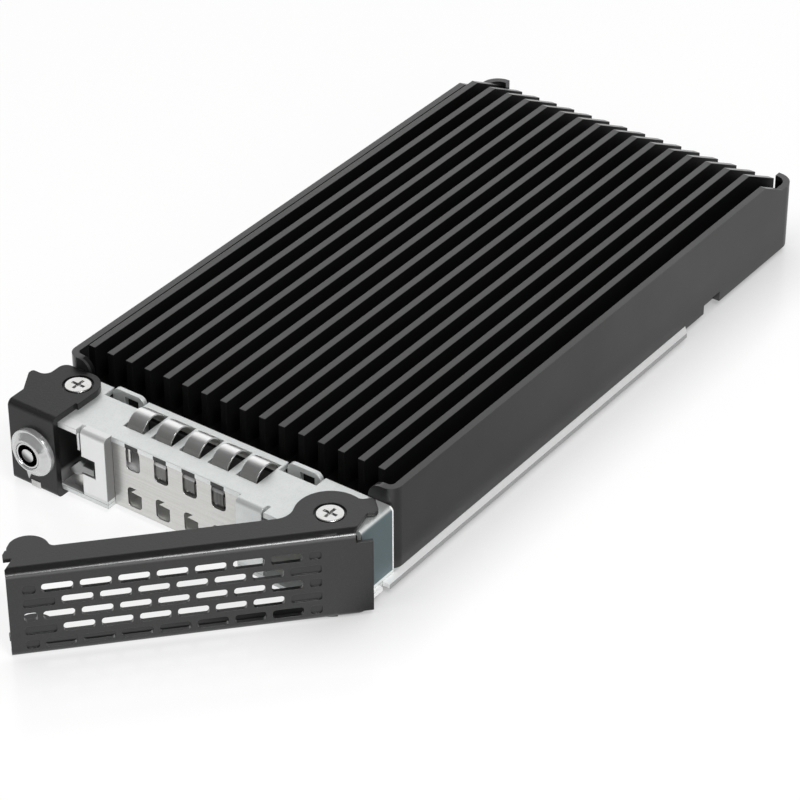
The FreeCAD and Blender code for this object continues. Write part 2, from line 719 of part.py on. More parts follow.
STAND_Y = "body_length - card_seat - card_length"
STAND_TOP = BOARD_TOP + " + slot_low"
stand = rod("z", "0", STAND_Y, (BOARD_TOP, STAND_TOP), "stand_round")
stand_hole = rod("z", "0", STAND_Y, (BOARD_TOP, STAND_TOP + " + cut_over"), "small_shank + snug_gap")
node("card_standoff", cut(stand, stand_hole))
card_screw = screw("small_head", "small_high", "small_shank", "slot_low - snug_gap", cell("head_edge"))
node("card_screw", place(card_screw, "0", STAND_Y, STAND_TOP + " + small_high"))

pad = block(
    ("-card_width/2", "card_width/2"),
    (STAND_Y + " + stand_round + small_head", SOCKET[0] + " - part_gap"),
    (CEILING + " - pad_thick", CEILING),
)
node("thermal_pad", pad)


# Rear connector: a shrouded tongue with flat contacts on both faces

MOUTH_MID = f"({BOARD_TOP} + plug_high/2)"
MOUTH_SIDE = "(plug_width/2 - plug_wall)"
plug_shroud = block(
    ("-plug_width/2", "plug_width/2"), ("body_length - plug_deep", "body_length"), (BOARD_TOP, PLUG_TOP)
)
plug_mouth = block(
    ("-" + MOUTH_SIDE, MOUTH_SIDE),
    ("body_length - plug_mouth", "body_length + cut_over"),
    (BOARD_TOP + " + plug_wall", PLUG_TOP + " - plug_wall"),
)
plug_tongue = block(
    (f"-{MOUTH_SIDE} + tongue_inset", f"{MOUTH_SIDE} - tongue_inset"),
    ("body_length - plug_mouth - plug_wall", "body_length - tongue_inset"),
    (MOUTH_MID + " - tongue_thick/2", MOUTH_MID + " + tongue_thick/2"),
)
node("rear_connector", join(cut(plug_shroud, plug_mouth), plug_tongue))

CONTACT_Y = ("body_length - tongue_inset - contact_long", "body_length - tongue_inset")
contacts = []
for middle in repeated("contact_count", "contact_pitch", "0"):
    wide = (f"{middle} - contact_wide/2", f"{middle} + contact_wide/2")
    above = MOUTH_MID + " + tongue_thick/2"
    below = MOUTH_MID + " - tongue_thick/2"
    contacts.append(block(wide, CONTACT_Y, (above, above + " + contact_thick")))
    contacts.append(block(wide, CONTACT_Y, (below + " - contact_thick", below)))
node("connector_contacts", group(*contacts))


# Tray floor: a flat sheet under the shell, with rail flanges, tabs and two upright lugs


def lug(middle):
    top = "deck_height + lug_rise"
    wide = (f"{middle} - lug_wide/2", f"{middle} + lug_wide/2")
    plate = block(wide, ("-part_gap - lug_thick", "-part_gap"), ("0", top))
    hole = block(
        (f"{middle} + lug_hole_side - lug_hole_wide/2", f"{middle} + lug_hole_side + lug_hole_wide/2"),
        ("-part_gap - lug_thick - cut_over", "cut_over"),
        (f"{top} - lug_hole_drop - lug_hole_high", f"{top} - lug_hole_drop"),
    )
    return cut(rounded(plate, cell("lug_round"), top_ends), hole)


def swing_corner(rear, z):
    """Flat corner under or over the handle's pivot, round where the handle swings past it."""
    left = block((PILLAR_RIGHT + " + tongue_slit", PIVOT_X), (PIVOT_Y + " - swing_round", rear), z)
    right = block((PIVOT_X, RIGHT), (SIDE_FRONT, rear), z)
    return join(left, right, rod("z", PIVOT_X, PIVOT_Y, z, "swing_round"))


FLOOR = ("0", "floor_thick")
RECESS = ("-recess_left", "recess_right")
RAILS = (LEFT + " - rail_out", RIGHT + " + rail_out")
floor_rails = block(RAILS, ("-rail_start", "floor_reach - rail_taper"), FLOOR)
floor_end = wedge(("floor_reach - rail_taper", "floor_reach"), RAILS, (LEFT, RIGHT), FLOOR, FLOOR)
floor_front = block((LEFT, PIVOT_X), ("-front_depth", "-rail_start"), FLOOR)
floor_tabs = block((LEFT + " - tab_out", RIGHT + " + tab_out"), ("-tab_front", "-tab_rear"), FLOOR)
floor_holes = [
    cone(x, y, FLOOR, "head_round + snug_gap", "shank_round + snug_gap") for x, y in TRAY_SCREWS
]
FLOOR_CUT = ("-cut_over", "floor_thick + cut_over")
floor_holes.append(rod("z", PIVOT_X, PIVOT_Y, FLOOR_CUT, "shank_round + part_gap"))
floor_holes.append(rod("z", *COVER_SCREW_SPOT, FLOOR_CUT, "shank_round + part_gap"))
tray_floor = join(
    floor_rails, floor_end, floor_front, floor_tabs, swing_corner("-rail_start", FLOOR), *map(lug, LUGS)
)
floor_recess = block(RECESS, ("-front_depth - cut_over", "-strip_face + strip_thick + part_gap"), FLOOR_CUT)
node("tray_floor", cut(tray_floor, *floor_holes, floor_recess))
node("tray_screws", group(*[
    sunk_screw(x, y, "0", "floor_thick", "head_round", "shank_round", "shank_long") for x, y in TRAY_SCREWS
]))


# Front hood: a flat top with bent-down sides and two front pillars


def pillar(x):
    top = block(x, ("-front_depth", "-part_gap"), DECK)
    leg = block(x, ("-front_depth", "-front_depth + sheet_thick"), HOOD_WALL)
    return rounded(join(top, leg), cell("bend_round"), front_top)


def pillar_return(x):
    return block(x, ("-front_depth + sheet_thick", "-strip_face - snug_gap"), ("floor_thick", DECK_LOW))


def hood_wall(x, front):
    return block(x, (front, "-part_gap"), HOOD_WALL)


hood_mid = block((LEFT, PIVOT_X), ("-recess_depth", "-part_gap"), DECK)
hood_left = block((LEFT, PILLAR_LEFT + " - tongue_slit"), ("-tongue_front", "-part_gap"), DECK)
hood = join(
    hood_mid,
    hood_left,
    swing_corner("-part_gap", DECK),
    pillar((PILLAR_LEFT, "-recess_left")),
    pillar(("recess_right", PILLAR_RIGHT)),
    pillar_return(("-recess_left - sheet_thick", "-recess_left")),
    pillar_return(("recess_right", "recess_right + sheet_thick")),
    hood_wall((LEFT, LEFT + " + sheet_thick"), "-left_wall_front"),
    hood_wall((RIGHT + " - sheet_thick", RIGHT), SIDE_FRONT),
)
hood = rounded(hood, cell("bend_round"), side_folds)
DECK_CUT = (DECK_LOW + " - cut_over", "deck_height + cut_over")
hood_cuts = [
    block((f"{x} - window_wide/2", f"{x} + window_wide/2"), ("-window_front", "-window_rear"), DECK_CUT)
    for x in repeated("finger_count", "finger_pitch", "-finger_mid")
]
LUG_HALF = "(lug_wide/2 + lug_play)"
hood_cuts += [
    block((f"{x} - {LUG_HALF}", f"{x} + {LUG_HALF}"), ("-lug_notch", "cut_over"), DECK_CUT) for x in LUGS
]
hood_cuts.append(block(
    (PILLAR_LEFT + " - cut_over", PILLAR_LEFT + " + bolt_slot_right"),
    ("-front_depth - cut_over", "-front_depth + sheet_thick + cut_over"),
    (TOOTH_Z[0] + " - move_gap", TOOTH_Z[1] + " + bolt_lift + move_gap"),
))
hood_cuts.append(rod("z", PIVOT_X, PIVOT_Y, DECK_CUT, "shank_round + part_gap"))
hood_cuts.append(rod("z", *COVER_SCREW_SPOT, DECK_CUT, "shank_round + part_gap"))
node("front_housing", cut(hood, *hood_cuts))


# Vent strip: a thin slotted sheet behind the pillars, with arched fingers through the hood's windows

STRIP_TOP = DECK_LOW + " - snug_gap"
STRIP_X = ("-recess_left - strip_lap", "recess_right + strip_lap")
ARCH_BASE = f"({STRIP_TOP} - strip_thick)"
ARCH_RISE = f"(deck_height + finger_rise - {ARCH_BASE})"
ARCH_HALF = "((finger_front - finger_rear)/2)"
ARCH_ROUND = f"(({ARCH_HALF}*{ARCH_HALF} + {ARCH_RISE}*{ARCH_RISE})/(2*{ARCH_RISE}))"
ARCH_Y = "-(finger_front + finger_rear)/2"
ARCH_Z = f"deck_height + finger_rise - {ARCH_ROUND}"


def vent_row(low, top):
    slots = []
    for x in repeated("vent_count", "vent_pitch", "vent_mid"):
        slot = block(
            (f"{x} - vent_wide/2", f"{x} + vent_wide/2"),
            past(STRIP_Y),
            (low, top),
        )
        slots.append(rounded(slot, cell("vent_round"), cross_wise))
    return slots


STRIP_Y = ("-strip_face", "-strip_face + strip_thick")
strip_front = block(STRIP_X, STRIP_Y, ("floor_thick + snug_gap", STRIP_TOP))
strip_foot = block(
    (RECESS[0] + " + snug_gap", RECESS[1] + " - snug_gap"),
    STRIP_Y,
    ("snug_gap", "floor_thick + lower_vent_low"),
)
strip_flange = block(STRIP_X, ("-strip_face", "-strip_rear"), (ARCH_BASE, STRIP_TOP))
finger_spots = repeated("finger_count", "finger_pitch", "-finger_mid")
finger_holes = [
    block(
        (f"{x} - finger_wide/2 - part_gap", f"{x} + finger_wide/2 + part_gap"),
        ("-finger_front + strip_thick", "-finger_rear - strip_thick"),
        (ARCH_BASE + " - cut_over", STRIP_TOP + " + cut_over"),
    )
    for x in finger_spots
]
arch = cut(
    rod("x", ARCH_Y, ARCH_Z, STRIP_X, ARCH_ROUND),
    rod("x", ARCH_Y, ARCH_Z, STRIP_X, ARCH_ROUND + " - strip_thick"),
)
finger_blocks = [
    block(
        (f"{x} - finger_wide/2", f"{x} + finger_wide/2"),
        ("-finger_front - cut_over", "-finger_rear + cut_over"),
        (ARCH_BASE, "deck_height + finger_rise + cut_over"),
    )
    for x in finger_spots
]
fingers = common(arch, join(*finger_blocks))
upper_vents = vent_row("upper_vent_low", "upper_vent_top")
lower_vents = vent_row("lower_vent_low", "lower_vent_top")
strip = cut(join(strip_front, strip_foot, strip_flange), *finger_holes, *upper_vents, *lower_vents)
node("vent_strip", join(strip, fingers))


# Lock cover: a folded sheet round the lock, open to the right and behind

COVER_LEFT = "(-body_width/2 - lock_out)"
COVER_RIGHT = "(cover_span - body_width/2)"
COVER_LOW = "-lock_sheet"
COVER_HIGH = "deck_height + lock_sheet"
COVER_Z = (COVER_LOW, COVER_HIGH)
EAR_LEFT = "(-body_width/2 - ear_out)"
cover_front = block((COVER_LEFT, COVER_RIGHT), ("-lock_front", "-cover_step"), COVER_Z)
cover_front = rounded(cover_front, cell("lock_bend"), front_folds)
cover_middle = block((LEFT, COVER_RIGHT), ("-cover_step - cut_over", "-cover_screw_ahead"), COVER_Z)
cover_back = block((LEFT, COVER_SCREW_SPOT[0]), ("-cover_screw_ahead - cut_over", "-cover_rear"), COVER_Z)
cover_corner = rod("z", *COVER_SCREW_SPOT, COVER_Z, "cover_arc")
COVER_SIDE = (COVER_SCREW_SPOT[0], COVER_SCREW_SPOT[0] + " + cover_arc")
cover_side = block(COVER_SIDE, ("-cover_step", "-cover_screw_ahead"), COVER_Z)
ear_slope = wedge(
    ("-ear_start", "-ear_mid"), (COVER_LEFT, COVER_RIGHT), (EAR_LEFT, COVER_RIGHT), COVER_Z, COVER_Z
)
ear_tip = block((EAR_LEFT, COVER_RIGHT), ("-ear_mid", "-ear_rear"), COVER_Z)


def ear_corner(edge, box):
    return runs(edge, "z") and edge.BoundBox.XMax < box.XMin + NEAR


cover_ear = rounded(join(ear_slope, ear_tip), cell("ear_round"), ear_corner)
cover_outline = join(cover_front, cover_middle, cover_back, cover_corner, cover_side, cover_ear)
for ahead in ("ear_rear", "cover_rear"):
    corner = corner_at(-cell("body_width") / 2, -cell(ahead))
    cover_outline = rounded(cover_outline, cell("ear_sweep"), corner)
cover_inside = block(
    (EAR_LEFT + " - cut_over", COVER_RIGHT + " + cover_span"), ("-lock_front + lock_sheet", "cut_over"),
    ("0", "deck_height"),
)
lock_hole = rod(
    "y", LOCK_X, LOCK_Z, ("-lock_front - cut_over", "-lock_front + lock_sheet + cut_over"),
    "barrel_round + snug_gap",
)
SINK_ROUND = "head_round + head_room"
SINK_DEEP = "head_high + snug_gap"
SINK_TOP = (f"{COVER_HIGH} - ({SINK_DEEP})", COVER_HIGH + " + cut_over")
SINK_LOW = (COVER_LOW + " - cut_over", f"{COVER_LOW} + {SINK_DEEP}")
sink_top = rod("z", *COVER_SCREW_SPOT, SINK_TOP, SINK_ROUND)
sink_low = rod("z", *COVER_SCREW_SPOT, SINK_LOW, SINK_ROUND)
cover_bore = rod(
    "z", *COVER_SCREW_SPOT, (COVER_LOW + " - cut_over", COVER_HIGH + " + cut_over"), "shank_round + part_gap"
)
node("lock_cover", cut(cover_outline, cover_inside, lock_hole, sink_top, sink_low, cover_bore))


def cover_screw(sheet_under):
    length = f"lock_sheet - head_high + {sheet_under} + nut_high"
    return screw("head_round", "head_high", "shank_round", length, cell("head_edge"))


upper_screw = place(cover_screw("sheet_thick"), *COVER_SCREW_SPOT, COVER_HIGH)
lower_screw = place(turned(cover_screw("floor_thick"), "x", 180), *COVER_SCREW_SPOT, COVER_LOW)
node("lock_cover_screws", group(upper_screw, lower_screw))


def nut(span):
    bore = rod("z", *COVER_SCREW_SPOT, past(span), "shank_round + snug_gap")
    return cut(rod("z", *COVER_SCREW_SPOT, span, "nut_round"), bore)


upper_nut = nut((DECK_LOW + " - nut_high", DECK_LOW))
lower_nut = nut(("floor_thick", "floor_thick + nut_high"))
node("lock_nuts", group(upper_nut, lower_nut))


# Lock: barrel and bezel, turning plug, moulded block and clip


def lock_rod(span, radius):
    return rod("y", LOCK_X, LOCK_Z, span, radius)


BEZEL_FRONT = "-lock_front - bezel_thick"
bezel = rounded(lock_rod((BEZEL_FRONT, "-lock_front"), "bezel_round"), cell("bezel_edge"), front_rim)
barrel = join(bezel, lock_rod(("-lock_front", "-barrel_rear"), "barrel_round"))
barrel_bore = lock_rod((BEZEL_FRONT + " - cut_over", "cut_over"), "plug_round + snug_gap")
node("lock_barrel", cut(barrel, barrel_bore))

PLUG_FRONT = BEZEL_FRONT + " + plug_sink"
keyway = cut(
    lock_rod((PLUG_FRONT + " - cut_over", PLUG_FRONT + " + key_deep"), "key_outer"),
    lock_rod((PLUG_FRONT + " - cut_over", PLUG_FRONT + " + key_deep + cut_over"), "key_inner"),
)
cam_bore = lock_rod(("-cam_front - small_long", "cut_over"), "small_shank + snug_gap")
node("lock_plug", cut(lock_rod((PLUG_FRONT, "-cam_front"), "plug_round"), keyway, cam_bore))

lock_block = block(
    (LEFT + " + sheet_thick + snug_gap", LOCK_X + " + block_side"), ("-block_front", "-block_rear"),
    ("floor_thick", DECK_LOW),
)
node("lock_block", cut(lock_block, lock_rod(("-lock_front", "0"), "barrel_round + snug_gap")))

clip = lock_rod(("-block_rear", "-block_rear + clip_thick"), "clip_round")
clip_hole = lock_rod(("-block_rear - cut_over", "0"), "barrel_round + snug_gap")
node("lock_clip", cut(clip, clip_hole))


# Cam behind the plug, off-centre to the lower right, and the bolt that it lifts

CAM_REAR = "-cam_front + cam_thick"
CAM_OFF = "cam_throw * sqrt(0.5)"
cam = rod("y", f"{LOCK_X} + {CAM_OFF}", f"{LOCK_Z} - {CAM_OFF}", ("-cam_front", CAM_REAR), "cam_round")
cam_hole = lock_rod(("-cam_front - cut_over", "cut_over"), "small_shank + snug_gap")
node("lock_cam", cut(cam, cam_hole))
cam_screw = screw("small_head", "small_high", "small_shank", "small_long", cell("head_edge"))
cam_screw = turned(cam_screw, "x", -90)
node("cam_screw", place(cam_screw, LOCK_X, CAM_REAR + " + small_high", LOCK_Z))

STEM_RIGHT = f"({PILLAR_LEFT} - stem_gap)"
STEM = (f"{STEM_RIGHT} - stem_wide", STEM_RIGHT)
STEM_FRONT = "(-front_depth + sheet_thick + stem_gap)"
STEM_REAR = STEM_FRONT + " + bolt_thick"
BOLT_LOW = "floor_thick + bolt_low"
TAIL_LOW = f"{LOCK_Z} - {CAM_OFF} + cam_round + move_gap"
TAIL_Y = ("-cam_front + tail_gap", CAM_REAR)
TOOTH_LEFT = STEM[0] + " - tooth_left"
stem = block(STEM, (STEM_FRONT, STEM_REAR), (BOLT_LOW, TOOTH_Z[1]))
foot = block(STEM, (STEM_FRONT, TAIL_Y[1]), (BOLT_LOW, BOLT_LOW + " + bolt_thick"))
riser = block(STEM, TAIL_Y, (BOLT_LOW, TAIL_LOW + " + bolt_thick"))
tail = block((LOCK_X + " - tail_left", STEM_RIGHT), TAIL_Y, (TAIL_LOW, TAIL_LOW + " + bolt_thick"))
TOOTH_FRONT = "-front_depth - tooth_ahead"
tooth_nose = wedge(
    (TOOTH_FRONT, STEM_REAR), (TOOTH_LEFT + " + tooth_nose", STEM_RIGHT), (TOOTH_LEFT, STEM_RIGHT),
    TOOTH_Z, TOOTH_Z,
)
tooth = block((STEM[0], PILLAR_LEFT + " + tooth_right"), (TOOTH_FRONT, STEM_REAR), TOOTH_Z)
node("lock_bolt", join(stem, foot, riser, tail, tooth_nose, tooth))


# Swing handle, drawn closed about its own pivot and then turned to its opening

REACH = "(body_width - pivot_inset - cover_span - handle_gap)"
HANDLE_TOP = "deck_height + handle_play + handle_thick"
HANDLE_LOW = "(-handle_play - handle_thick)"
HANDLE_Z = (HANDLE_LOW, HANDLE_TOP)
FACE_Y = ("-face_out", "-face_out + handle_thick")


def opened(item):
    """The piece turned with the handle and set on the pivot."""
    turned(item, "z", cell("open_angle"))
    item.setExpression(".Placement.Rotation.Angle", formula("open_angle"))
    return place(item, PIVOT_X, PIVOT_Y, "0")


def grille():
    """Slots of a brick pattern; the end slots are blind, all but the middle row's left one."""
    left = f"(-{REACH} + grille_left)"
    pitch = f"((-grille_right - {left} + slot_web)/grille_columns)"
    columns = int(cell("grille_columns"))
    rows = int(cell("grille_rows"))
    through = []
    blind = []
    for row in range(rows):
        middle = f"grille_mid + ({(rows - 1) / 2} - {row}) * grille_step"
        z = (f"{middle} - slot_tall/2", f"{middle} + slot_tall/2")
        if row % 2:
            spans = [
                (f"{left} + {k} * {pitch}", f"{left} + {k + 1} * {pitch} - slot_web")
                for k in range(columns)
            ]
            ends = [spans.pop(0), spans.pop()]
        else:
            spans = [
                (f"{left} + {k + 0.5} * {pitch}", f"{left} + {k + 1.5} * {pitch} - slot_web")
                for k in range(columns - 1)
            ]
            ends = [(left, left + " + half_left"), ("-grille_right - half_right", "-grille_right")]
        if row == rows // 2:
            spans.append(ends.pop(0))
        through += [block(span, past(FACE_Y), z) for span in spans]
        blind += [block(span, ("-face_out - cut_over", "-face_out + blind_deep"), z) for span in ends]
    return rounded(join(*through, *blind), cell("slot_round"), cross_wise)


flange = block((f"-{REACH}", "flange_end"), ("-face_out", "flange_in"), HANDLE_Z)
flange = rounded(flange, cell("handle_bend"), front_folds)
flange_lobe = cut(
    rod("z", "0", "0", HANDLE_Z, "lobe_round"),
    block(("0", "lobe_round + cut_over"), ("-lobe_round - cut_over", "-cam_low"), past(HANDLE_Z)),
)
flange_bump = rod("z", f"-{REACH} + bump_inset", "0", HANDLE_Z, "bump_round")
flange_slope = wedge(
    ("-face_out + handle_bend", "-cam_low"), ("0", "flange_end"), ("0", "face_end"), HANDLE_Z, HANDLE_Z
)
ejector = block(("0", "cam_reach"), ("-cam_low", "cam_high"), HANDLE_Z)


def ejector_corner(edge, box):
    return runs(edge, "z") and edge.BoundBox.XMin > box.XMax - NEAR


ejector = rounded(ejector, cell("cam_edge"), ejector_corner)
low_strip = block(
    ("0", "face_end"), ("-face_out", "-face_out + 2 * handle_bend"),
    (HANDLE_LOW, HANDLE_LOW + " + 3 * handle_bend"),
)
low_strip = rounded(low_strip, cell("handle_bend"), front_folds)
low_slope = wedge(
    (HANDLE_LOW, "0"), ("0", "flange_end"), ("0", f"flange_end - bend_run * {HANDLE_LOW}"),
    ("face_out - handle_bend", "face_out"), ("face_out - handle_bend", "face_out"),
)
low_end = common(low_strip, turned(low_slope, "x", 90))
handle_inside = block(
    (f"-{REACH} - cut_over", "cam_reach + cut_over"),
    ("-face_out + handle_thick", "lobe_round + cut_over"),
    ("-handle_play", "deck_height + handle_play"),
)
face_end = block(("0", "face_end"), FACE_Y, ("-face_low", "face_top"))
face_trim = block(
    ("flange_end", "cam_reach"),
    ("-face_out - cut_over", FACE_Y[1]),
    ("face_top", HANDLE_TOP + " + cut_over"),
)
END_OVER = f"-{REACH} - cut_over"
hook_slope = wedge(
    ("-hook_front", "hook_rear"), (END_OVER, f"-{REACH}"), (END_OVER, f"-{REACH} + hook_in"),
    past(HANDLE_Z), past(HANDLE_Z),
)
bite = wedge(
    ("-bite_front", "-bite_rear"), (END_OVER, f"-{REACH}"), (END_OVER, f"-{REACH} + bite_deep"),
    past(HANDLE_Z), past(HANDLE_Z),
)


def bite_bottom(edge, box):
    return edge.BoundBox.XMin > box.XMax - NEAR


bite = rounded(bite, cell("bite_round"), bite_bottom)
low_relief = block(
    (f"-{REACH} + bump_inset + bump_round", "-lobe_round"), ("-face_out + low_depth", "lobe_round"),
    (HANDLE_LOW + " - cut_over", "0"),
)
low_relief = rounded(low_relief, cell("low_round"), upright)
pivot_bore = rod("z", "0", "0", past(HANDLE_Z), "shoulder_round + snug_gap")
PIVOT_SINK_TOP = (f"{HANDLE_TOP} - ({SINK_DEEP})", HANDLE_TOP + " + cut_over")
PIVOT_SINK_LOW = (HANDLE_LOW + " - cut_over", f"{HANDLE_LOW} + {SINK_DEEP}")
pivot_sink_top = rod("z", "0", "0", PIVOT_SINK_TOP, SINK_ROUND)
pivot_sink_low = rod("z", "0", "0", PIVOT_SINK_LOW, SINK_ROUND)
folded = join(flange, flange_lobe, flange_bump, flange_slope, ejector)
doc.recompute()
BUMP_ROOT = folded.Shape.BoundBox.XMin + cell("bump_inset") + cell("bump_round")
folded = rounded(folded, cell("lobe_sweep"), corner_at(-cell("lobe_round"), cell("flange_in")))
folded = rounded(folded, cell("bump_sweep"), corner_at(BUMP_ROOT, cell("flange_in")))
CAM_ROOT = math.sqrt(cell("lobe_round")**2 - cell("cam_high")**2)
folded = rounded(folded, cell("cam_sweep"), corner_at(CAM_ROOT, cell("cam_high")))
folded = join(folded, low_end)
folded = cut(folded, handle_inside, hook_slope, bite, low_relief, pivot_bore, pivot_sink_top, pivot_sink_low)
handle = cut(join(folded, face_end), face_trim, grille())
node("handle", opened(handle))

CATCH_X = (f"-{REACH} + catch_inset", f"-{REACH} + catch_inset + catch_thick")
CATCH_MID = TOOTH_Z[1] + " + bolt_lift + move_gap"
CATCH_TOP = CATCH_MID + " + catch_high"
catch_arm = block(CATCH_X, (FACE_Y[1], "-barb_rear"), (CATCH_MID, CATCH_TOP))
catch_barb = block(CATCH_X, ("-barb_front", "-barb_rear"), (TOOTH_Z[1] + " + move_gap", CATCH_TOP))
catch_base = block(
    (f"{CATCH_X[0]} - catch_foot", f"{CATCH_X[1]} + part_gap"), (FACE_Y[1], FACE_Y[1] + " + catch_foot"),
    (CATCH_MID, CATCH_TOP),
)
node("handle_catch", opened(join(catch_arm, catch_barb, catch_base)))


# Pivot: a post between floor and hood, a shouldered screw and a washer at each end, and the spring

post = rod("z", PIVOT_X, PIVOT_Y, ("floor_thick", DECK_LOW), "post_round")
post_bore = rod("z", PIVOT_X, PIVOT_Y, ("0", "deck_height"), "shank_round + snug_gap")
node("pivot_post", cut(post, post_bore))


def pivot_screw():
    neck_long = "handle_thick - head_high + handle_play"
    cap = rounded(rod("z", "0", "0", ("-head_high", "0"), "head_round"), cell("head_edge"), upper_rim)
    neck = rod("z", "0", "0", (f"-head_high - ({neck_long})", "-head_high"), "shoulder_round")
    thread = rod("z", "0", "0", (f"-head_high - ({neck_long}) - shank_long", "-head_high"), "shank_round")
    return cross_cut(join(cap, neck, thread))


upper_pivot = place(pivot_screw(), PIVOT_X, PIVOT_Y, HANDLE_TOP)
lower_pivot = place(turned(pivot_screw(), "x", 180), PIVOT_X, PIVOT_Y, HANDLE_LOW)
node("pivot_screws", group(upper_pivot, lower_pivot))


def washer(span):
    bore = rod("z", PIVOT_X, PIVOT_Y, past(span), "shoulder_round + part_gap")
    return cut(rod("z", PIVOT_X, PIVOT_Y, span, "washer_round"), bore)


upper_washer = washer(("deck_height", "deck_height + washer_thick"))
lower_washer = washer(("-washer_thick", "0"))
node("pivot_washers", group(upper_washer, lower_washer))

coil = rod("z", PIVOT_X, PIVOT_Y, ("coil_low", "coil_top"), "coil_outer")
coil_space = rod("z", PIVOT_X, PIVOT_Y, ("coil_low - cut_over", "coil_top + cut_over"), "coil_inner")
node("handle_spring", cut(coil, coil_space))


# Every object must be sound before anything is written

doc.recompute()
for item in doc.Objects:
    if "Invalid" in item.State or "Error" in item.State:
        raise RuntimeError(f"{item.Name} failed: {item.State}")
for item in NODES:
    if item.Shape.isNull() or not item.Shape.isValid():
        raise RuntimeError(f"{item.Label} has no sound shape")

os.makedirs("parts", exist_ok=True)
for item in NODES:
    item.Shape.exportStep(os.path.join("parts", item.Label + ".step"))
    print(item.Label, len(item.Shape.Solids), round(item.Shape.Volume, 1))
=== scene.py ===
import bpy
import bmesh
import math
from mathutils import Matrix, Vector


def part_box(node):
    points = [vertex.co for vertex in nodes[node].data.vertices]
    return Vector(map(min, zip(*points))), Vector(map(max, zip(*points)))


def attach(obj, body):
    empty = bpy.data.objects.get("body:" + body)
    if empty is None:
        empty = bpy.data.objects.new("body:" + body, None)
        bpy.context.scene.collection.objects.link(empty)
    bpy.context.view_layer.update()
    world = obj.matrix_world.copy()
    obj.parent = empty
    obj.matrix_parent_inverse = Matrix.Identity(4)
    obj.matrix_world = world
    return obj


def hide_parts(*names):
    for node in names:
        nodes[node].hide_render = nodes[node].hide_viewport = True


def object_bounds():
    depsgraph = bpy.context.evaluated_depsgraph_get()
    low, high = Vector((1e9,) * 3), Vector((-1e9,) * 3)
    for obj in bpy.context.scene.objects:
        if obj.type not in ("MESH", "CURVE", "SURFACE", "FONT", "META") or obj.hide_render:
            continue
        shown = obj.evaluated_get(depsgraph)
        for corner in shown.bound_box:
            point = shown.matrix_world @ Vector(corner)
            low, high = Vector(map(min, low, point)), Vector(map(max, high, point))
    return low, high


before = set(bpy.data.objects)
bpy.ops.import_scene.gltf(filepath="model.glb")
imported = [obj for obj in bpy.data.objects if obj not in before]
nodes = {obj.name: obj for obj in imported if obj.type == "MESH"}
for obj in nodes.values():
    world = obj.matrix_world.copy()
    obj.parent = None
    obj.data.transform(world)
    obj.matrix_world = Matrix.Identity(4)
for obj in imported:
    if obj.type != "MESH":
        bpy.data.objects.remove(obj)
cad_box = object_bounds()


# Finned shell and its bottom plate: aluminium with sixteen long milled fins, bead blasted and
# anodised black. The cutter leaves fine lines along the fins, and the dye is thin on sharp edges.
# The channels between the fins get little light and are painted in near-black shade.

class Value:
    """A node's output; reckoning with values adds Math nodes to the same network."""

    def __init__(self, network, socket):
        self.network = network
        self.socket = socket

    def reckon(self, operation, first, second):
        return self.network.node("ShaderNodeMath", {"operation": operation}, {0: first, 1: second})

    def __add__(self, other):
        return self.reckon("ADD", self, other)

    __radd__ = __add__

    def __sub__(self, other):
        return self.reckon("SUBTRACT", self, other)

    def __rsub__(self, other):
        return self.reckon("SUBTRACT", other, self)

    def __mul__(self, other):
        return self.reckon("MULTIPLY", self, other)

    __rmul__ = __mul__

    def __gt__(self, other):
        return self.reckon("GREATER_THAN", self, other)

    def __lt__(self, other):
        return self.reckon("LESS_THAN", self, other)

    def __abs__(self):
        return self.reckon("ABSOLUTE", self, 0.0)


class Network:
    """A node tree, with short ways to add to it."""

    def __init__(self, tree):
        self.tree = tree

    def node(self, kind, settings=None, sockets=None, out=0):
        """Any node: its settings, what goes into its sockets, and the output that is used."""
        added = self.tree.nodes.new(kind)
        for name, value in (settings or {}).items():
            setattr(added, name, value)
        for name, value in (sockets or {}).items():
            if isinstance(value, Value):
                self.tree.links.new(value.socket, added.inputs[name])
            else:
                added.inputs[name].default_value = value
        return Value(self, added.outputs[out])

    def apart(self, vector):
        """The X, Y and Z of a vector."""
        return [self.node("ShaderNodeSeparateXYZ", {}, {"Vector": vector}, axis) for axis in "XYZ"]

    def fit(self, value, low, high, to_low=0.0, to_high=1.0):
        """A value carried from one range to another, and held at its ends."""
        return self.node("ShaderNodeMapRange", {"clamp": True}, {
            "Value": value, "From Min": low, "From Max": high, "To Min": to_low, "To Max": to_high,
        })

    def mix(self, share, first, second):
        """Two colours mixed; a Mix node has its colours in sockets 6 and 7, and in output 2."""
        colours = {0: share, 6: first, 7: second}
        return self.node("ShaderNodeMix", {"data_type": "RGBA"}, colours, out=2)


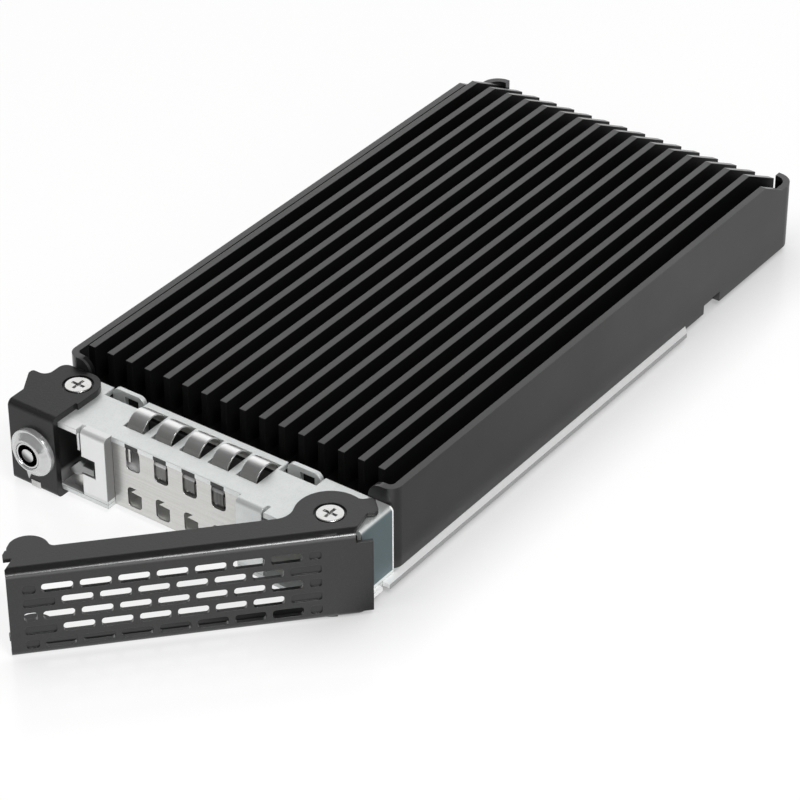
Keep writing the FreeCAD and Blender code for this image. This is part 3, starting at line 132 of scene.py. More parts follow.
class Finish(Network):
    """A material: its shader's constants, and the nodes that feed the shader."""

    def __init__(self, name, **constants):
        self.material = bpy.data.materials.new(name)
        self.material.use_nodes = True
        super().__init__(self.material.node_tree)
        self.shader = self.tree.nodes["Principled BSDF"]
        for socket, value in constants.items():
            self.shader.inputs[socket.replace("_", " ")].default_value = value
        self.place = self.node("ShaderNodeTexCoord", out="Object")
        self.x, self.y, self.z = self.apart(self.place)

    def feed(self, socket, value):
        self.tree.links.new(value.socket, self.shader.inputs[socket])

    def noise(self, scale, detail, stretch=(1, 1, 1)):
        """Noise from 0 to 1; a stretch below 1 draws it out along that axis."""
        spot = self.node("ShaderNodeMapping", {}, {"Vector": self.place, "Scale": stretch})
        return self.node("ShaderNodeTexNoise", {}, {
            "Vector": spot, "Scale": scale, "Detail": detail,
        })

    def spread(self, noise, most=1.0):
        """Noise, which crowds round a half, spread from 0 to most."""
        return self.fit(noise, 0.3, 0.7, 0.0, most)

    def rounded(self, radius):
        """Normals that run round the sharp edges."""
        return self.node("ShaderNodeBevel", {"samples": 6}, {"Radius": radius})

    def edges(self, rounded):
        """A mask of the edges, where the rounded normals leave the flat ones."""
        flat = self.node("ShaderNodeNewGeometry", out="Normal")
        both = {0: rounded, 1: flat}
        agreed = self.node("ShaderNodeVectorMath", {"operation": "DOT_PRODUCT"}, both, "Value")
        return self.fit(agreed, 0.995, 0.80)

    def bump(self, height, distance, strength, normal):
        return self.node("ShaderNodeBump", {}, {
            "Height": height, "Distance": distance, "Strength": strength, "Normal": normal,
        })


def grey(level, tint=(1.0, 1.0, 1.0)):
    return (level * tint[0], level * tint[1], level * tint[2], 1.0)


def dress(finish, *names):
    """CAD pieces take a finish all over."""
    for name in names:
        slots = nodes[name].data.materials
        for spot in range(len(slots)):
            slots[spot] = finish.material


FIN_TOP = 0.01692
CHANNEL_FLOOR = 0.0095
WALL_INSIDE = 0.0335
FIN_FRONT = 0.0005
REAR_SLOPE_START = 0.1203
REAR_SLOPE_END = 0.1300
REAR_SLOPE_DROP = 0.0051
FOOT_HEIGHT = 0.007
DYE = grey(0.008)
THIN_DYE = grey(0.014, (1.0, 1.0, 1.02))
CUTTER_LINE = grey(0.024)
WORN_EDGE = grey(0.06)
CHANNEL_SHADE = grey(0.003)

anodised = Finish(
    "anodised_black", IOR=1.5, Specular_IOR_Level=0.10, Coat_IOR=1.58, Coat_Roughness=0.34,
)
clouds = anodised.noise(70, 3)
lines = anodised.noise(2600, 2, (1, 0.012, 1))
beads = anodised.noise(5200, 1)
rounded = anodised.rounded(0.00022)
worn = anodised.edges(rounded) * anodised.fit(anodised.noise(900, 3), 0.35, 0.7)
drop = anodised.fit(anodised.y, REAR_SLOPE_START, REAR_SLOPE_END, 0.0, REAR_SLOPE_DROP)
# Painted shade: the channels between the fins are mixed towards near-black and lose most of their
# coat.
channels = (anodised.z + drop < FIN_TOP) * (anodised.z > CHANNEL_FLOOR)
channels = channels * (abs(anodised.x) < WALL_INSIDE) * (anodised.y > FIN_FRONT)
tone = anodised.mix(anodised.spread(clouds), DYE, THIN_DYE)
tone = anodised.mix(anodised.fit(lines, 0.35, 0.75, 0.0, 0.35), tone, CUTTER_LINE)
tone = anodised.mix(worn * 0.25, tone, WORN_EDGE)
anodised.feed("Base Color", anodised.mix(channels * 0.8, tone, CHANNEL_SHADE))
anodised.feed("Roughness", 0.40 + lines * 0.10 + beads * 0.10)
foot = anodised.fit(anodised.z, 0.0, FOOT_HEIGHT, 0.80, 1.0)
anodised.feed("Coat Weight", (1 - 0.95 * channels) * (0.88 + 0.16 * clouds) * foot)
anodised.feed("Normal", anodised.bump(beads * 0.7 + lines * 0.5, 0.00003, 0.35, rounded))
dress(anodised, "heatsink_shell", "bottom_cover")


# Screws and nuts: turned steel with bright nickel plating, driven into the sheets and the shell.
# The cross recesses of the large flat screws carry painted shade below their faces.

SCREWS_MIDDLE = 0.00705
BELOW_FACES = 0.00822
SHELL_FRONT = -0.0005
RECESS_SHADE = grey(0.12)

nickel = Finish("nickel_screw", Metallic=1.0)
haze = nickel.noise(900, 3)
# Painted shade: the screws in front of the shell are darkened below the flat screws' faces.
recess = (abs(nickel.z - SCREWS_MIDDLE) < BELOW_FACES) * (nickel.y < SHELL_FRONT)
tone = nickel.mix(nickel.spread(haze), grey(0.70, (1.0, 0.99, 0.96)), grey(0.82))
nickel.feed("Base Color", nickel.mix(recess * 0.55, tone, RECESS_SHADE))
nickel.feed("Roughness", 0.20 + haze * 0.16)
nickel.feed("Normal", nickel.bump(nickel.noise(4000, 2), 0.00002, 0.15, nickel.rounded(0.00010)))
dress(nickel, "cover_screws", "board_screws", "card_screw", "tray_screws")
dress(nickel, "lock_cover_screws", "lock_nuts", "cam_screw", "pivot_screws")


# Drive bay: a green circuit board with fine copper tracks under its mask, black moulded chips and
# sockets, gold-plated contacts and a soft grey-blue heat pad. The block that carries the lock is
# the same black moulding, with a paler foot.

TRACK_SCALE = 260.0
TRACK_EDGE = 0.72
DARK_MASK = (0.012, 0.075, 0.030, 1.0)
PALE_MASK = (0.020, 0.105, 0.044, 1.0)
MASK_ON_COPPER = (0.045, 0.190, 0.070, 1.0)

solder = Finish("solder_mask", Coat_Weight=0.4, Coat_Roughness=0.15)
weave = solder.noise(1800, 2)
across, lengthwise = (
    solder.node("ShaderNodeTexWave", {"bands_direction": way}, {
        "Vector": solder.place, "Scale": TRACK_SCALE,
    }) > TRACK_EDGE
    for way in "XY"
)
fields = solder.noise(60, 0) > 0.5
tracks = fields * across + (1 - fields) * lengthwise
tone = solder.mix(solder.spread(weave), DARK_MASK, PALE_MASK)
solder.feed("Base Color", solder.mix(tracks * 0.6, tone, MASK_ON_COPPER))
solder.feed("Roughness", 0.30 + weave * 0.15)
rounded = solder.rounded(0.00008)
solder.feed("Normal", solder.bump(tracks * 0.8 + weave * 0.2, 0.00003, 0.3, rounded))
dress(solder, "adapter_board")

FOOT_TOP = 0.0038
FOOT_FULL = 0.0030
BLOCK_FOOT = grey(0.22)

moulded = Finish("black_moulding", IOR=1.5, Specular_IOR_Level=0.5)
grain = moulded.noise(3600, 2)
rounded = moulded.rounded(0.00015)
tone = moulded.mix(moulded.spread(moulded.noise(240, 3)), grey(0.008), grey(0.014))
tone = moulded.mix(moulded.edges(rounded) * 0.3, tone, grey(0.03))
block_foot = (moulded.y < 0) * moulded.fit(moulded.z, FOOT_TOP, FOOT_FULL)
moulded.feed("Base Color", moulded.mix(block_foot, tone, BLOCK_FOOT))
moulded.feed("Roughness", 0.48 + grain * 0.2)
moulded.feed("Normal", moulded.bump(grain, 0.00004, 0.4, rounded))
dress(moulded, "board_chips", "card_socket", "rear_connector", "lock_block")

gold = Finish("gold_plating", Metallic=1.0)
rubbed = gold.noise(1400, 3, (0.2, 1, 1))
tone = gold.mix(gold.spread(rubbed), (0.72, 0.50, 0.20, 1.0), (0.88, 0.66, 0.30, 1.0))
gold.feed("Base Color", tone)
gold.feed("Roughness", 0.18 + rubbed * 0.18)
gold.feed("Normal", gold.bump(rubbed, 0.00001, 0.2, gold.rounded(0.00006)))
dress(gold, "card_standoff", "connector_contacts")

pad = Finish("heat_pad", IOR=1.42)
crumbs = pad.noise(2200, 3)
tone = pad.mix(pad.spread(crumbs), (0.33, 0.42, 0.50, 1.0), (0.45, 0.55, 0.62, 1.0))
pad.feed("Base Color", tone)
pad.feed("Roughness", 0.68 + crumbs * 0.2)
pad.feed("Normal", pad.bump(crumbs, 0.00006, 0.5, pad.rounded(0.0003)))
dress(pad, "thermal_pad")


# Steel tray and hood: cold rolled sheet, punched, folded and then zinc plated, so the cut edges are
# bright too. The plating is satin, with a faint blue cast and a soft cloudy spangle. Each part of
# the sheet has the tone that the light on it gives in the photograph, painted into its colour:
# painted shade on the hood's right side, the pillar's side, the low edges and the rail's outer rim,
# a painted shadow above the vent slots, painted light on the left pillar and the rail's top, a
# painted highlight on the hood's rear rim, and on the floor inside the hood a flat pale tone with
# painted shade in the lock gap.

FLOOR_LEVEL = 0.0015
UNDERSIDE = 0.0004
HOOD_INSIDE = 0.034
LOCK_GAP_RIGHT = -0.0208
LOCK_GAP_FRONT = -0.0130
LOCK_GAP_DEPTH = (-0.0125, -0.0108)
STRIP_BACK = -0.0112
RAIL_START = 0.0350
RAIL_RIM = 0.03642
PILLAR_BACK = -0.0114
PILLAR_RIGHT = -0.0155
PILLAR_SIDE = -0.01532
PILLAR_LIP = [(-0.02200, -0.02145), (-0.0129, -0.0123), (0.0093, 0.0131)]
SLIVER = 0.0001
SIDE_START = 0.03465
SIDE_FULL = 0.03485
REAR_RIM = -0.00045
REAR_RIM_SIDE = 0.0343
VENT_MIDDLE = 0.00135
VENT_PITCH = 0.00613
VENT_HALF = 0.00140
VENT_ROW_MIDDLE = -0.00135
VENT_ROW_HALF = 0.0139
HOOD_LIP = -0.01145
HOOD_LIP_LOW = 0.0130
HOOD_LIP_TOP = 0.01392
VENT_SHADOW = grey(0.03)
ZINC_SPECK = grey(0.58, (0.95, 1.0, 0.985))
SIDE_SHADE = (0.125, 0.19, 0.21, 1.0)
BEHIND_STRIP = grey(0.85, (1.0, 1.0, 0.94))


def from_vent(finish):
    """How far a point lies sideways from the middle of the nearest vent slot."""
    return finish.node("ShaderNodeMath", {"operation": "PINGPONG"}, {
        0: finish.x - VENT_MIDDLE, 1: VENT_PITCH / 2,
    })


zinc = Finish("zinc_plate")
spangle = zinc.noise(420, 3)
rolled = zinc.noise(1500, 2, (0.04, 1, 1))
specks = zinc.noise(5000, 1)
rounded = zinc.rounded(0.00018)
edge = zinc.edges(rounded)
aside = abs(zinc.x)
low = zinc.z < FLOOR_LEVEL
high = 1 - low
front_line = zinc.fit(
    zinc.x, LOCK_GAP_RIGHT - SLIVER, LOCK_GAP_RIGHT, LOCK_GAP_FRONT, STRIP_BACK,
)
inside = low * (zinc.z > UNDERSIDE) * (aside < HOOD_INSIDE)
inside = inside * (zinc.y > front_line) * (zinc.y < 0)
# Painted light: the rail gets a plain pale tone without metal, so its top reads as lit.
lit_rail = low * (aside > RAIL_START)
# Painted shade on the rail's outer rim.
shaded_rail_rim = lit_rail * (aside > RAIL_RIM)
pillars = high * (zinc.y < PILLAR_BACK)
# Painted light on the left pillar.
lit_left_pillar = pillars * (zinc.x < PILLAR_RIGHT)
# Painted shade on the pillar's right side.
shaded_pillar_side = pillars * (abs(zinc.x - PILLAR_SIDE) < SLIVER)
# Painted shade: the hood's outer right side is mixed towards a dark bluish grey.
outer_side = high * zinc.fit(aside, SIDE_START, SIDE_FULL)
# Painted highlight: the hood's rear rim at the side is pale and without metal.
lit_rear_rim = high * (zinc.y > REAR_RIM) * (aside > REAR_RIM_SIDE)
# Painted shadow on the hood's front lip above each vent slot.
shadow_over_vent = (from_vent(zinc) < VENT_HALF) * (abs(zinc.x - VENT_ROW_MIDDLE) < VENT_ROW_HALF)
shadow_over_vent = shadow_over_vent * (zinc.y < HOOD_LIP) * (zinc.z < HOOD_LIP_TOP) * (zinc.z > HOOD_LIP_LOW)
tone = zinc.mix(
    zinc.spread(spangle), grey(0.85, (0.965, 1.0, 0.99)), grey(0.92, (0.97, 1.0, 0.99)),
)
tone = zinc.mix(zinc.fit(specks, 0.45, 0.8, 0.0, 0.25), tone, ZINC_SPECK)
tone = zinc.mix(outer_side * 0.9, tone, SIDE_SHADE)
tone = zinc.mix(edge * 0.5, tone, grey(0.86))
tone = zinc.mix(lit_rear_rim, tone, grey(0.92))
tone = zinc.mix(shadow_over_vent, tone, VENT_SHADOW)
# Painted shade on the edges of the low sheet, away from the rail.
tone = zinc.mix(edge * low * (1 - lit_rail) * 0.8, tone, grey(0.16))
tone = zinc.mix(lit_left_pillar * 0.8, tone, grey(0.93))
tone = zinc.mix(shaded_pillar_side, tone, grey(0.31))
tone = zinc.mix(lit_rail, tone, grey(0.89))
tone = zinc.mix(shaded_rail_rim, tone, grey(0.34))
# The floor inside the hood: a flat pale tone behind the strip, and in the lock gap painted shade
# that grows darker towards the front.
lock_gap_shade = zinc.mix(zinc.fit(zinc.y, *LOCK_GAP_DEPTH), grey(0.30), grey(0.95))
inside_tone_and_shade = zinc.mix(zinc.x > LOCK_GAP_RIGHT, lock_gap_shade, BEHIND_STRIP)
zinc.feed("Base Color", zinc.mix(inside, tone, inside_tone_and_shade))
# The painted rear rim, vent shadow and rail lose their metal.
bare = (1 - lit_rear_rim) * (1 - shadow_over_vent) * (1 - lit_rail)
zinc.feed("Metallic", (0.70 + spangle * 0.10 - low * 0.40) * bare)
zinc.feed("Roughness", 0.36 + spangle * 0.10 + rolled * 0.08)
zinc.feed("Normal", zinc.bump(specks * 0.6 + rolled * 0.6, 0.00002, 0.30, rounded))
dress(zinc, "tray_floor", "front_housing", "handle_catch", "lock_cam", "pivot_post")


def made(name, shape, finish, body, turn=30):
    """A finished mesh as a piece: shaded smooth up to an angle, dressed, and set on its body."""
    bmesh.ops.recalc_face_normals(shape, faces=shape.faces)
    mesh = bpy.data.meshes.new(name)
    shape.to_mesh(mesh)
    shape.free()
    mesh.shade_smooth()
    mesh.set_sharp_from_angle(angle=math.radians(turn))
    mesh.materials.append(finish.material)
    item = bpy.data.objects.new(name, mesh)
    bpy.context.scene.collection.objects.link(item)
    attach(item, body)
    return item


def shift(shape, drawn, way):
    """Moves the points that an extrusion has just made."""
    points = [part for part in drawn["geom"] if isinstance(part, bmesh.types.BMVert)]
    bmesh.ops.translate(shape, vec=way, verts=points)


def sheet_from(shape, corners, way):
    """A flat outline drawn out along one direction into a closed sheet."""
    outline = shape.faces.new([shape.verts.new(corner) for corner in corners])
    shift(shape, bmesh.ops.extrude_face_region(shape, geom=[outline]), way)


def bar(shape, across, deep, high):
    """A plain bar, from its ranges along X, Y and Z."""
    (x0, x1), (y0, y1), (z0, z1) = across, deep, high
    corners = [(x0, y0, z0), (x1, y0, z0), (x1, y0, z1), (x0, y0, z1)]
    sheet_from(shape, corners, (0, y1 - y0, 0))


def round_edges(shape, offset):
    bmesh.ops.bevel(
        shape, geom=shape.edges[:], offset=offset, offset_type="OFFSET", affect="EDGES",
        segments=2, profile=0.5, material=-1,
    )


shape = bmesh.new()
bar(shape, *PILLAR_LIP)
round_edges(shape, 0.00010)
made("pillar_lip", shape, zinc, "tray")


# Vent strip: thin stainless spring sheet, punched and bent, with rolling lines along its length and
# crowned fingers whose tops carry a painted highlight, as do the sheet's edges. Painted shade lies
# at the bolt's tooth, and a painted shadow along the top of each vent slot. A small pointed tongue
# is left in each lower slot, and a curved leaf of duller sheet stands behind each upper slot but
# the leftmost, which has a ledge and a small panel. The leaves carry painted shade that grows
# towards the right, painted light at their foot and a painted highlight near their top.

CROWN_START = 0.0149
CROWN_TOP = 0.0157
BOLT_RIGHT = -0.0175
TOOTH_START = 0.0036
TOOTH_FULL = 0.0048
VENT_TOP = 0.01270
VENT_TOP_HALF = 0.00042
STRIP_FACE = -0.0111
CROWN_HIGHLIGHT = grey(0.95)
EDGE_HIGHLIGHT = grey(0.97)
SHADED_TOOTH = grey(0.24, (0.97, 1.0, 1.0))
SPRING_GRIT = grey(0.46, (1.0, 0.99, 0.96))

spring = Finish("spring_sheet", Metallic=1.0)
rolled = spring.noise(2600, 2, (0.02, 1, 1))
grit = spring.noise(4200, 2)
rounded = spring.rounded(0.00010)
tone = spring.mix(
    spring.spread(rolled), grey(0.61, (1.0, 0.995, 0.96)), grey(0.69, (1.0, 0.995, 0.97)),
)
tone = spring.mix(spring.fit(grit, 0.45, 0.8, 0.0, 0.3), tone, SPRING_GRIT)
# Painted highlight on the fingers' crowned tops.
tone = spring.mix(spring.fit(spring.z, CROWN_START, CROWN_TOP, 0.0, 0.8), tone, CROWN_HIGHLIGHT)
# Painted highlight along the sheet's edges.
tone = spring.mix(spring.edges(rounded) * 0.9, tone, EDGE_HIGHLIGHT)
# Painted shade at the bolt's tooth.
tooth = (spring.x < BOLT_RIGHT) * spring.fit(spring.z, TOOTH_START, TOOTH_FULL)
tone = spring.mix(tooth * 0.85, tone, SHADED_TOOTH)
# Painted shadow along the top of each vent slot.
shadow_at_vent_top = (from_vent(spring) < VENT_HALF) * (spring.y < STRIP_FACE)
shadow_at_vent_top = shadow_at_vent_top * (abs(spring.z - VENT_TOP) < VENT_TOP_HALF)
spring.feed("Base Color", spring.mix(shadow_at_vent_top, tone, VENT_SHADOW))
spring.feed("Roughness", 0.22 + rolled * 0.10 + spring.noise(300, 3) * 0.10)
spring.feed("Normal", spring.bump(rolled * 0.6 + grit * 0.6, 0.00002, 0.25, rounded))
dress(spring, "vent_strip", "lock_clip")

VENTS = [VENT_MIDDLE + (k - 2) * VENT_PITCH for k in range(4)]
TONGUE = [(0.001560, 0.00505), (0.001560, 0.00385), (-0.000785, 0.00403), (0.000525, 0.00505)]
TONGUE_SINK = 0.00003
TONGUE_THICK = 0.00024
RIB_LEFT = VENTS[0] - 0.00125
RIB_RIGHT = VENTS[0] - 0.00080
RIB_SINK = 0.0004
RIB_THICK = 0.0004
RIB_HEIGHTS = (0.0099, 0.0128)
strip_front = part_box("vent_strip")[0].y

shape = bmesh.new()
for middle in VENTS:
    corners = [(middle + x, strip_front + TONGUE_SINK, z) for x, z in TONGUE]
    sheet_from(shape, corners, (0, TONGUE_THICK, 0))
rib_front = strip_front + RIB_SINK
bar(shape, (RIB_LEFT, RIB_RIGHT), (rib_front, rib_front + RIB_THICK), RIB_HEIGHTS)
made("vent_tongues", shape, spring, "tray")

SHADE_START = -0.0065
SHADE_FULL = 0.0075
LEDGE_RIGHT = -0.0087
LEAF_FOOT = (0.0093, 0.0083)
HIGHLIGHT_LOW = (0.01155, 0.01175)
HIGHLIGHT_TOP = (0.01230, 0.01210)

dull = Finish("dull_spring")
haze = dull.noise(500, 3)
rolled = dull.noise(2600, 2, (1, 1, 0.02))
# Painted shade: the leaves grow darker towards the right.
shaded = dull.fit(dull.x, SHADE_START, SHADE_FULL)
# Painted highlight: a pale band without metal near the leaves' top, weaker towards the right.
leaf_highlight = dull.fit(dull.z, *HIGHLIGHT_LOW) * dull.fit(dull.z, *HIGHLIGHT_TOP)
ledge = dull.x < LEDGE_RIGHT
tone = dull.mix(shaded, grey(0.24, (1.0, 1.0, 0.96)), grey(0.10, (1.0, 0.99, 0.96)))
tone = dull.mix(dull.spread(haze, 0.4), tone, grey(0.07))
tone = dull.mix(dull.fit(rolled, 0.4, 0.8, 0.0, 0.4), tone, grey(0.26))
# Painted light at the leaves' foot.
tone = dull.mix(dull.fit(dull.z, *LEAF_FOOT), tone, grey(0.34))
tone = dull.mix(leaf_highlight * (1 - 0.6 * shaded), tone, grey(0.95))
dull.feed("Base Color", dull.mix(ledge, tone, grey(0.55)))
dull.feed("Metallic", (1 - leaf_highlight) * (1 - ledge))
dull.feed("Roughness", 0.24 + haze * 0.14)
dull.feed("Normal", dull.bump(rolled, 0.00002, 0.25, dull.rounded(0.00006)))


def bent_strip(shape, profile, left, width):
    """A side profile of depths and heights drawn out sideways into a thin bent strip."""
    rim = [shape.verts.new((left, strip_front + y, z)) for y, z in profile]
    edges = [shape.edges.new(pair) for pair in zip(rim, rim[1:])]
    shift(shape, bmesh.ops.extrude_edge_only(shape, edges=edges), (width, 0, 0))


LEAF = [
    (0.0026, 0.01290), (0.0012, 0.01275), (0.00065, 0.01235), (0.00038, 0.01170),
    (0.00034, 0.01080), (0.00034, 0.00960), (0.00042, 0.00890), (0.00075, 0.00830),
    (0.0014, 0.00780), (0.0022, 0.0074),
]
LEDGE = [
    (0.0030, 0.01040), (0.0016, 0.00985), (0.0007, 0.00900), (0.0004, 0.00820), (0.0004, 0.00760),
]
PANEL = [(0.0018, 0.01290), (0.0016, 0.01240), (0.0016, 0.01130)]
LEAF_LEFT, LEAF_WIDE = 0.0022, 0.00295
LEDGE_LEFT, LEDGE_WIDE = 0.0024, 0.0040
PANEL_LEFT, PANEL_WIDE = 0.0009, 0.0020
LEAF_THICK = 0.00020

shape = bmesh.new()
for middle in VENTS[1:]:
    bent_strip(shape, LEAF, middle - LEAF_LEFT, LEAF_WIDE)
bent_strip(shape, LEDGE, VENTS[0] - LEDGE_LEFT, LEDGE_WIDE)
bent_strip(shape, PANEL, VENTS[0] - PANEL_LEFT, PANEL_WIDE)
bmesh.ops.recalc_face_normals(shape, faces=shape.faces)
bmesh.ops.solidify(shape, geom=shape.faces[:], thickness=LEAF_THICK)
made("vent_leaves", shape, dull, "tray", 50)


# Lock cover and handle: folded steel sheet with a fine-textured black powder coat, held by large
# flat screws. The coat is glossier along the handle's rounded bend, and the blind slots of the
# grille carry a little painted shade.

FACE_X = 0.7302
FACE_Y = -0.6833
FACE_AT = 0.033273
FOLD_START = -0.0022
FOLD_END = -0.0007
FOLD_DEPTH = 0.00034
BLIND_FRONT = -0.00012
BLIND_BACK = -0.00045
COVER_RIGHT = -0.015
COAT = grey(0.005)
COAT_GRAIN = grey(0.020)
BLIND_SLOT_SHADE = grey(0.003)

powder = Finish("powder_coat", IOR=1.5, Specular_IOR_Level=0.60, Coat_Roughness=0.24)
orange_peel = powder.noise(2400, 2)
fine = powder.noise(6500, 1)
clouds = powder.noise(120, 2)
rounded = powder.rounded(0.00018)
before_face = FACE_X * powder.x + FACE_Y * powder.y - FACE_AT
blind = (before_face < BLIND_FRONT) * (before_face > BLIND_BACK)
tone = powder.mix(powder.fit(fine, 0.35, 0.75), COAT, COAT_GRAIN)
tone = powder.mix(powder.fit(clouds, 0.35, 0.7, 0.0, 0.35), tone, grey(0.012))
tone = powder.mix(powder.edges(rounded) * 0.2, tone, grey(0.05))
# Painted shade in the blind slots of the grille.
powder.feed("Base Color", powder.mix(blind * 0.4, tone, BLIND_SLOT_SHADE))
powder.feed("Metallic", 0.38 * (powder.x < COVER_RIGHT))
powder.feed("Roughness", 0.27 + fine * 0.14)
up = powder.apart(powder.node("ShaderNodeTexCoord", out="Normal"))[2]
powder.feed("Coat Weight", powder.fit(up, 0.30, 0.55) * powder.fit(up, 0.97, 0.85))
smooth = {"clamp": True, "interpolation_type": "SMOOTHSTEP"}
fold = powder.node("ShaderNodeMapRange", smooth, {
    "Value": before_face, "From Min": FOLD_START, "From Max": FOLD_END,
    "To Min": 0.0, "To Max": -1.0,
})
folded = powder.bump(fold, FOLD_DEPTH, 1.0, rounded)
powder.feed("Normal", powder.bump(orange_peel * 0.8 + fine * 0.5, 0.00005, 0.4, folded))
dress(powder, "lock_cover", "handle")


# Lock: a chromed barrel whose turned bezel is a low cone, a plug whose ring-shaped keyway is
# painted in dark shade and whose middle post carries painted shade towards the lower left, and the
# bright bolt. The barrel sits in its block, held by a clip. A small pointer under the bezel and a
# white painted mark show which way the key stands.

LOCK_X = -0.030025
LOCK_Z = 0.00695
KEYWAY_RADIUS = 0.00218
KEYWAY_FRONT = -0.01655
POST_RADIUS = 0.00135
POST_BACK = -0.0150
BEZEL_INSIDE = 0.0025
TURNING_LINES = 1.1e7
POST_SHADE = grey(0.10)
KEYWAY_SHADE = grey(0.012)

chrome = Finish("bright_chrome")
smear = chrome.noise(500, 3)
off_x = chrome.x - LOCK_X
off_z = chrome.z - LOCK_Z
off_axis = off_x * off_x + off_z * off_z
keyway = (off_axis < KEYWAY_RADIUS ** 2) * (chrome.y > KEYWAY_FRONT)
post = (off_axis < POST_RADIUS ** 2) * (chrome.y < POST_BACK)
turned = chrome.node("ShaderNodeMath", {"operation": "SINE"}, {0: off_axis * TURNING_LINES})
tone = chrome.mix(chrome.spread(smear), grey(0.62), grey(0.74, (0.99, 1.0, 1.01)))
# Painted shade on the middle post, darker towards the lower left.
tone = chrome.mix(post * chrome.fit(off_z + 0.5 * off_x, 0.0004, -0.0008), tone, POST_SHADE)
# Painted shade: the keyway is near-black.
chrome.feed("Base Color", chrome.mix(keyway, tone, KEYWAY_SHADE))
chrome.feed("Roughness", 0.15 + smear * 0.14 + keyway * 0.4)
chrome.feed("Metallic", 1 - 0.30 * (off_axis > BEZEL_INSIDE ** 2))
waves = chrome.bump(chrome.noise(620, 2), 0.0003, 0.45, chrome.rounded(0.00010))
fine_lines = chrome.noise(3000, 1) * 0.6 + turned * 0.25
chrome.feed("Normal", chrome.bump(fine_lines, 0.00001, 0.2, waves))
dress(chrome, "lock_plug")

# Radius and depth of the bezel's and the barrel's turned outline, in millimetres.
BEZEL = [
    (2.50, -16.70), (2.58, -16.90), (2.75, -17.00), (2.95, -16.98), (3.15, -16.86), (4.02, -15.98),
    (4.16, -15.92), (4.34, -15.92), (4.46, -15.80), (4.50, -15.60), (4.50, -14.90), (3.30, -14.90),
    (3.30, -5.50), (2.50, -5.50),
]
shape = bmesh.new()
rim = [shape.verts.new((LOCK_X + r / 1000, y / 1000, LOCK_Z)) for r, y in BEZEL]
edges = [shape.edges.new(pair) for pair in zip(rim, rim[1:] + rim[:1])]
bmesh.ops.spin(
    shape, geom=rim + edges, cent=(LOCK_X, 0, LOCK_Z), axis=(0, 1, 0), angle=2 * math.pi, steps=72,
    use_merge=True,
)
lock_bezel = made("lock_bezel", shape, chrome, "tray")
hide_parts("lock_barrel")

COVER_FACE = -0.01490
POINTER = [(-0.0019, 0.0031), (-0.0003, 0.0029), (-0.0013, 0.0009)]
POINTER_THICK = 0.0006
shape = bmesh.new()
sheet_from(shape, [(LOCK_X + x, COVER_FACE, z) for x, z in POINTER], (0, -POINTER_THICK, 0))
round_edges(shape, 0.00012)
made("bezel_pointer", shape, chrome, "tray")

paint = Finish("white_paint", IOR=1.5)
worn = paint.noise(2600, 3)
tone = paint.mix(paint.fit(worn, 0.3, 0.75), grey(0.90, (1.0, 1.0, 0.98)), grey(0.82))
paint.feed("Base Color", tone)
paint.feed("Roughness", 0.45 + worn * 0.2)

MARK_SIDES = (LOCK_X - 0.00120, LOCK_X + 0.00085)
MARK_HEIGHTS = (-0.00070, 0.00055)
MARK_THICK = 0.00012
shape = bmesh.new()
bar(shape, MARK_SIDES, (COVER_FACE, COVER_FACE - MARK_THICK), MARK_HEIGHTS)
round_edges(shape, 0.00005)
made("index_mark", shape, paint, "tray")

# The bolt is a bent strip: a stem behind the pillar's edge, a foot, and a tail over the cam. Its
# arrow-shaped tooth stands in the pillar's slot. Sizes are in millimetres.
TOOTH = [
    (-23.45, 5.30), (-23.15, 4.75), (-22.20, 4.40), (-20.90, 4.90), (-20.60, 5.55), (-18.10, 5.60),
    (-18.10, 6.90), (-20.40, 6.95), (-21.20, 7.60),
]
BENT = [
    ((-23.80, -20.90), (-12.20, -11.20), (1.30, 5.20)),
    ((-22.20, -20.90), (-12.10, -3.30), (1.30, 2.30)),
    ((-22.20, -20.90), (-4.20, -3.30), (1.30, 10.20)),
    ((-31.52, -20.90), (-4.20, -3.30), (9.24, 10.24)),
]
TOOTH_FRONT = -13.5
TOOTH_DEEP = 2.3
shape = bmesh.new()
corners = [(x / 1000, TOOTH_FRONT / 1000, z / 1000) for x, z in TOOTH]
sheet_from(shape, corners, (0, TOOTH_DEEP / 1000, 0))
for ranges in BENT:
    bar(shape, *[(start / 1000, end / 1000) for start, end in ranges])
round_edges(shape, 0.00010)
bolt_strip = made("bolt_strip", shape, spring, "bolt")
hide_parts("lock_bolt")


# Pivot: white nylon washers lie under the handle's flanges, and a torsion spring is wound from
# round steel wire about the post. The coil stays with the tray while the handle turns.

nylon = Finish("washer_nylon", IOR=1.53)
haze = nylon.noise(800, 3)
tone = nylon.mix(nylon.spread(haze), grey(0.72, (1.0, 1.0, 0.97)), grey(0.82, (1.0, 1.0, 0.98)))
nylon.feed("Base Color", tone)
nylon.feed("Roughness", 0.42 + haze * 0.2)
nylon.feed("Normal", nylon.bump(haze, 0.00003, 0.3, nylon.rounded(0.0001)))
dress(nylon, "pivot_washers")

PIVOT = Vector((0.028525, -0.0087, 0.0))
COIL_RADIUS = 0.0033
WIRE = 0.00036
WIRE_SIDES = 10
TURNS = 5
STEPS = 28 * TURNS
coil_low, coil_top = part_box("handle_spring")
climb = (coil_top.z - coil_low.z - 2 * WIRE) / STEPS
start = PIVOT + Vector((COIL_RADIUS, 0, coil_low.z + WIRE))
upright = Matrix.Rotation(math.pi / 2, 3, "X")

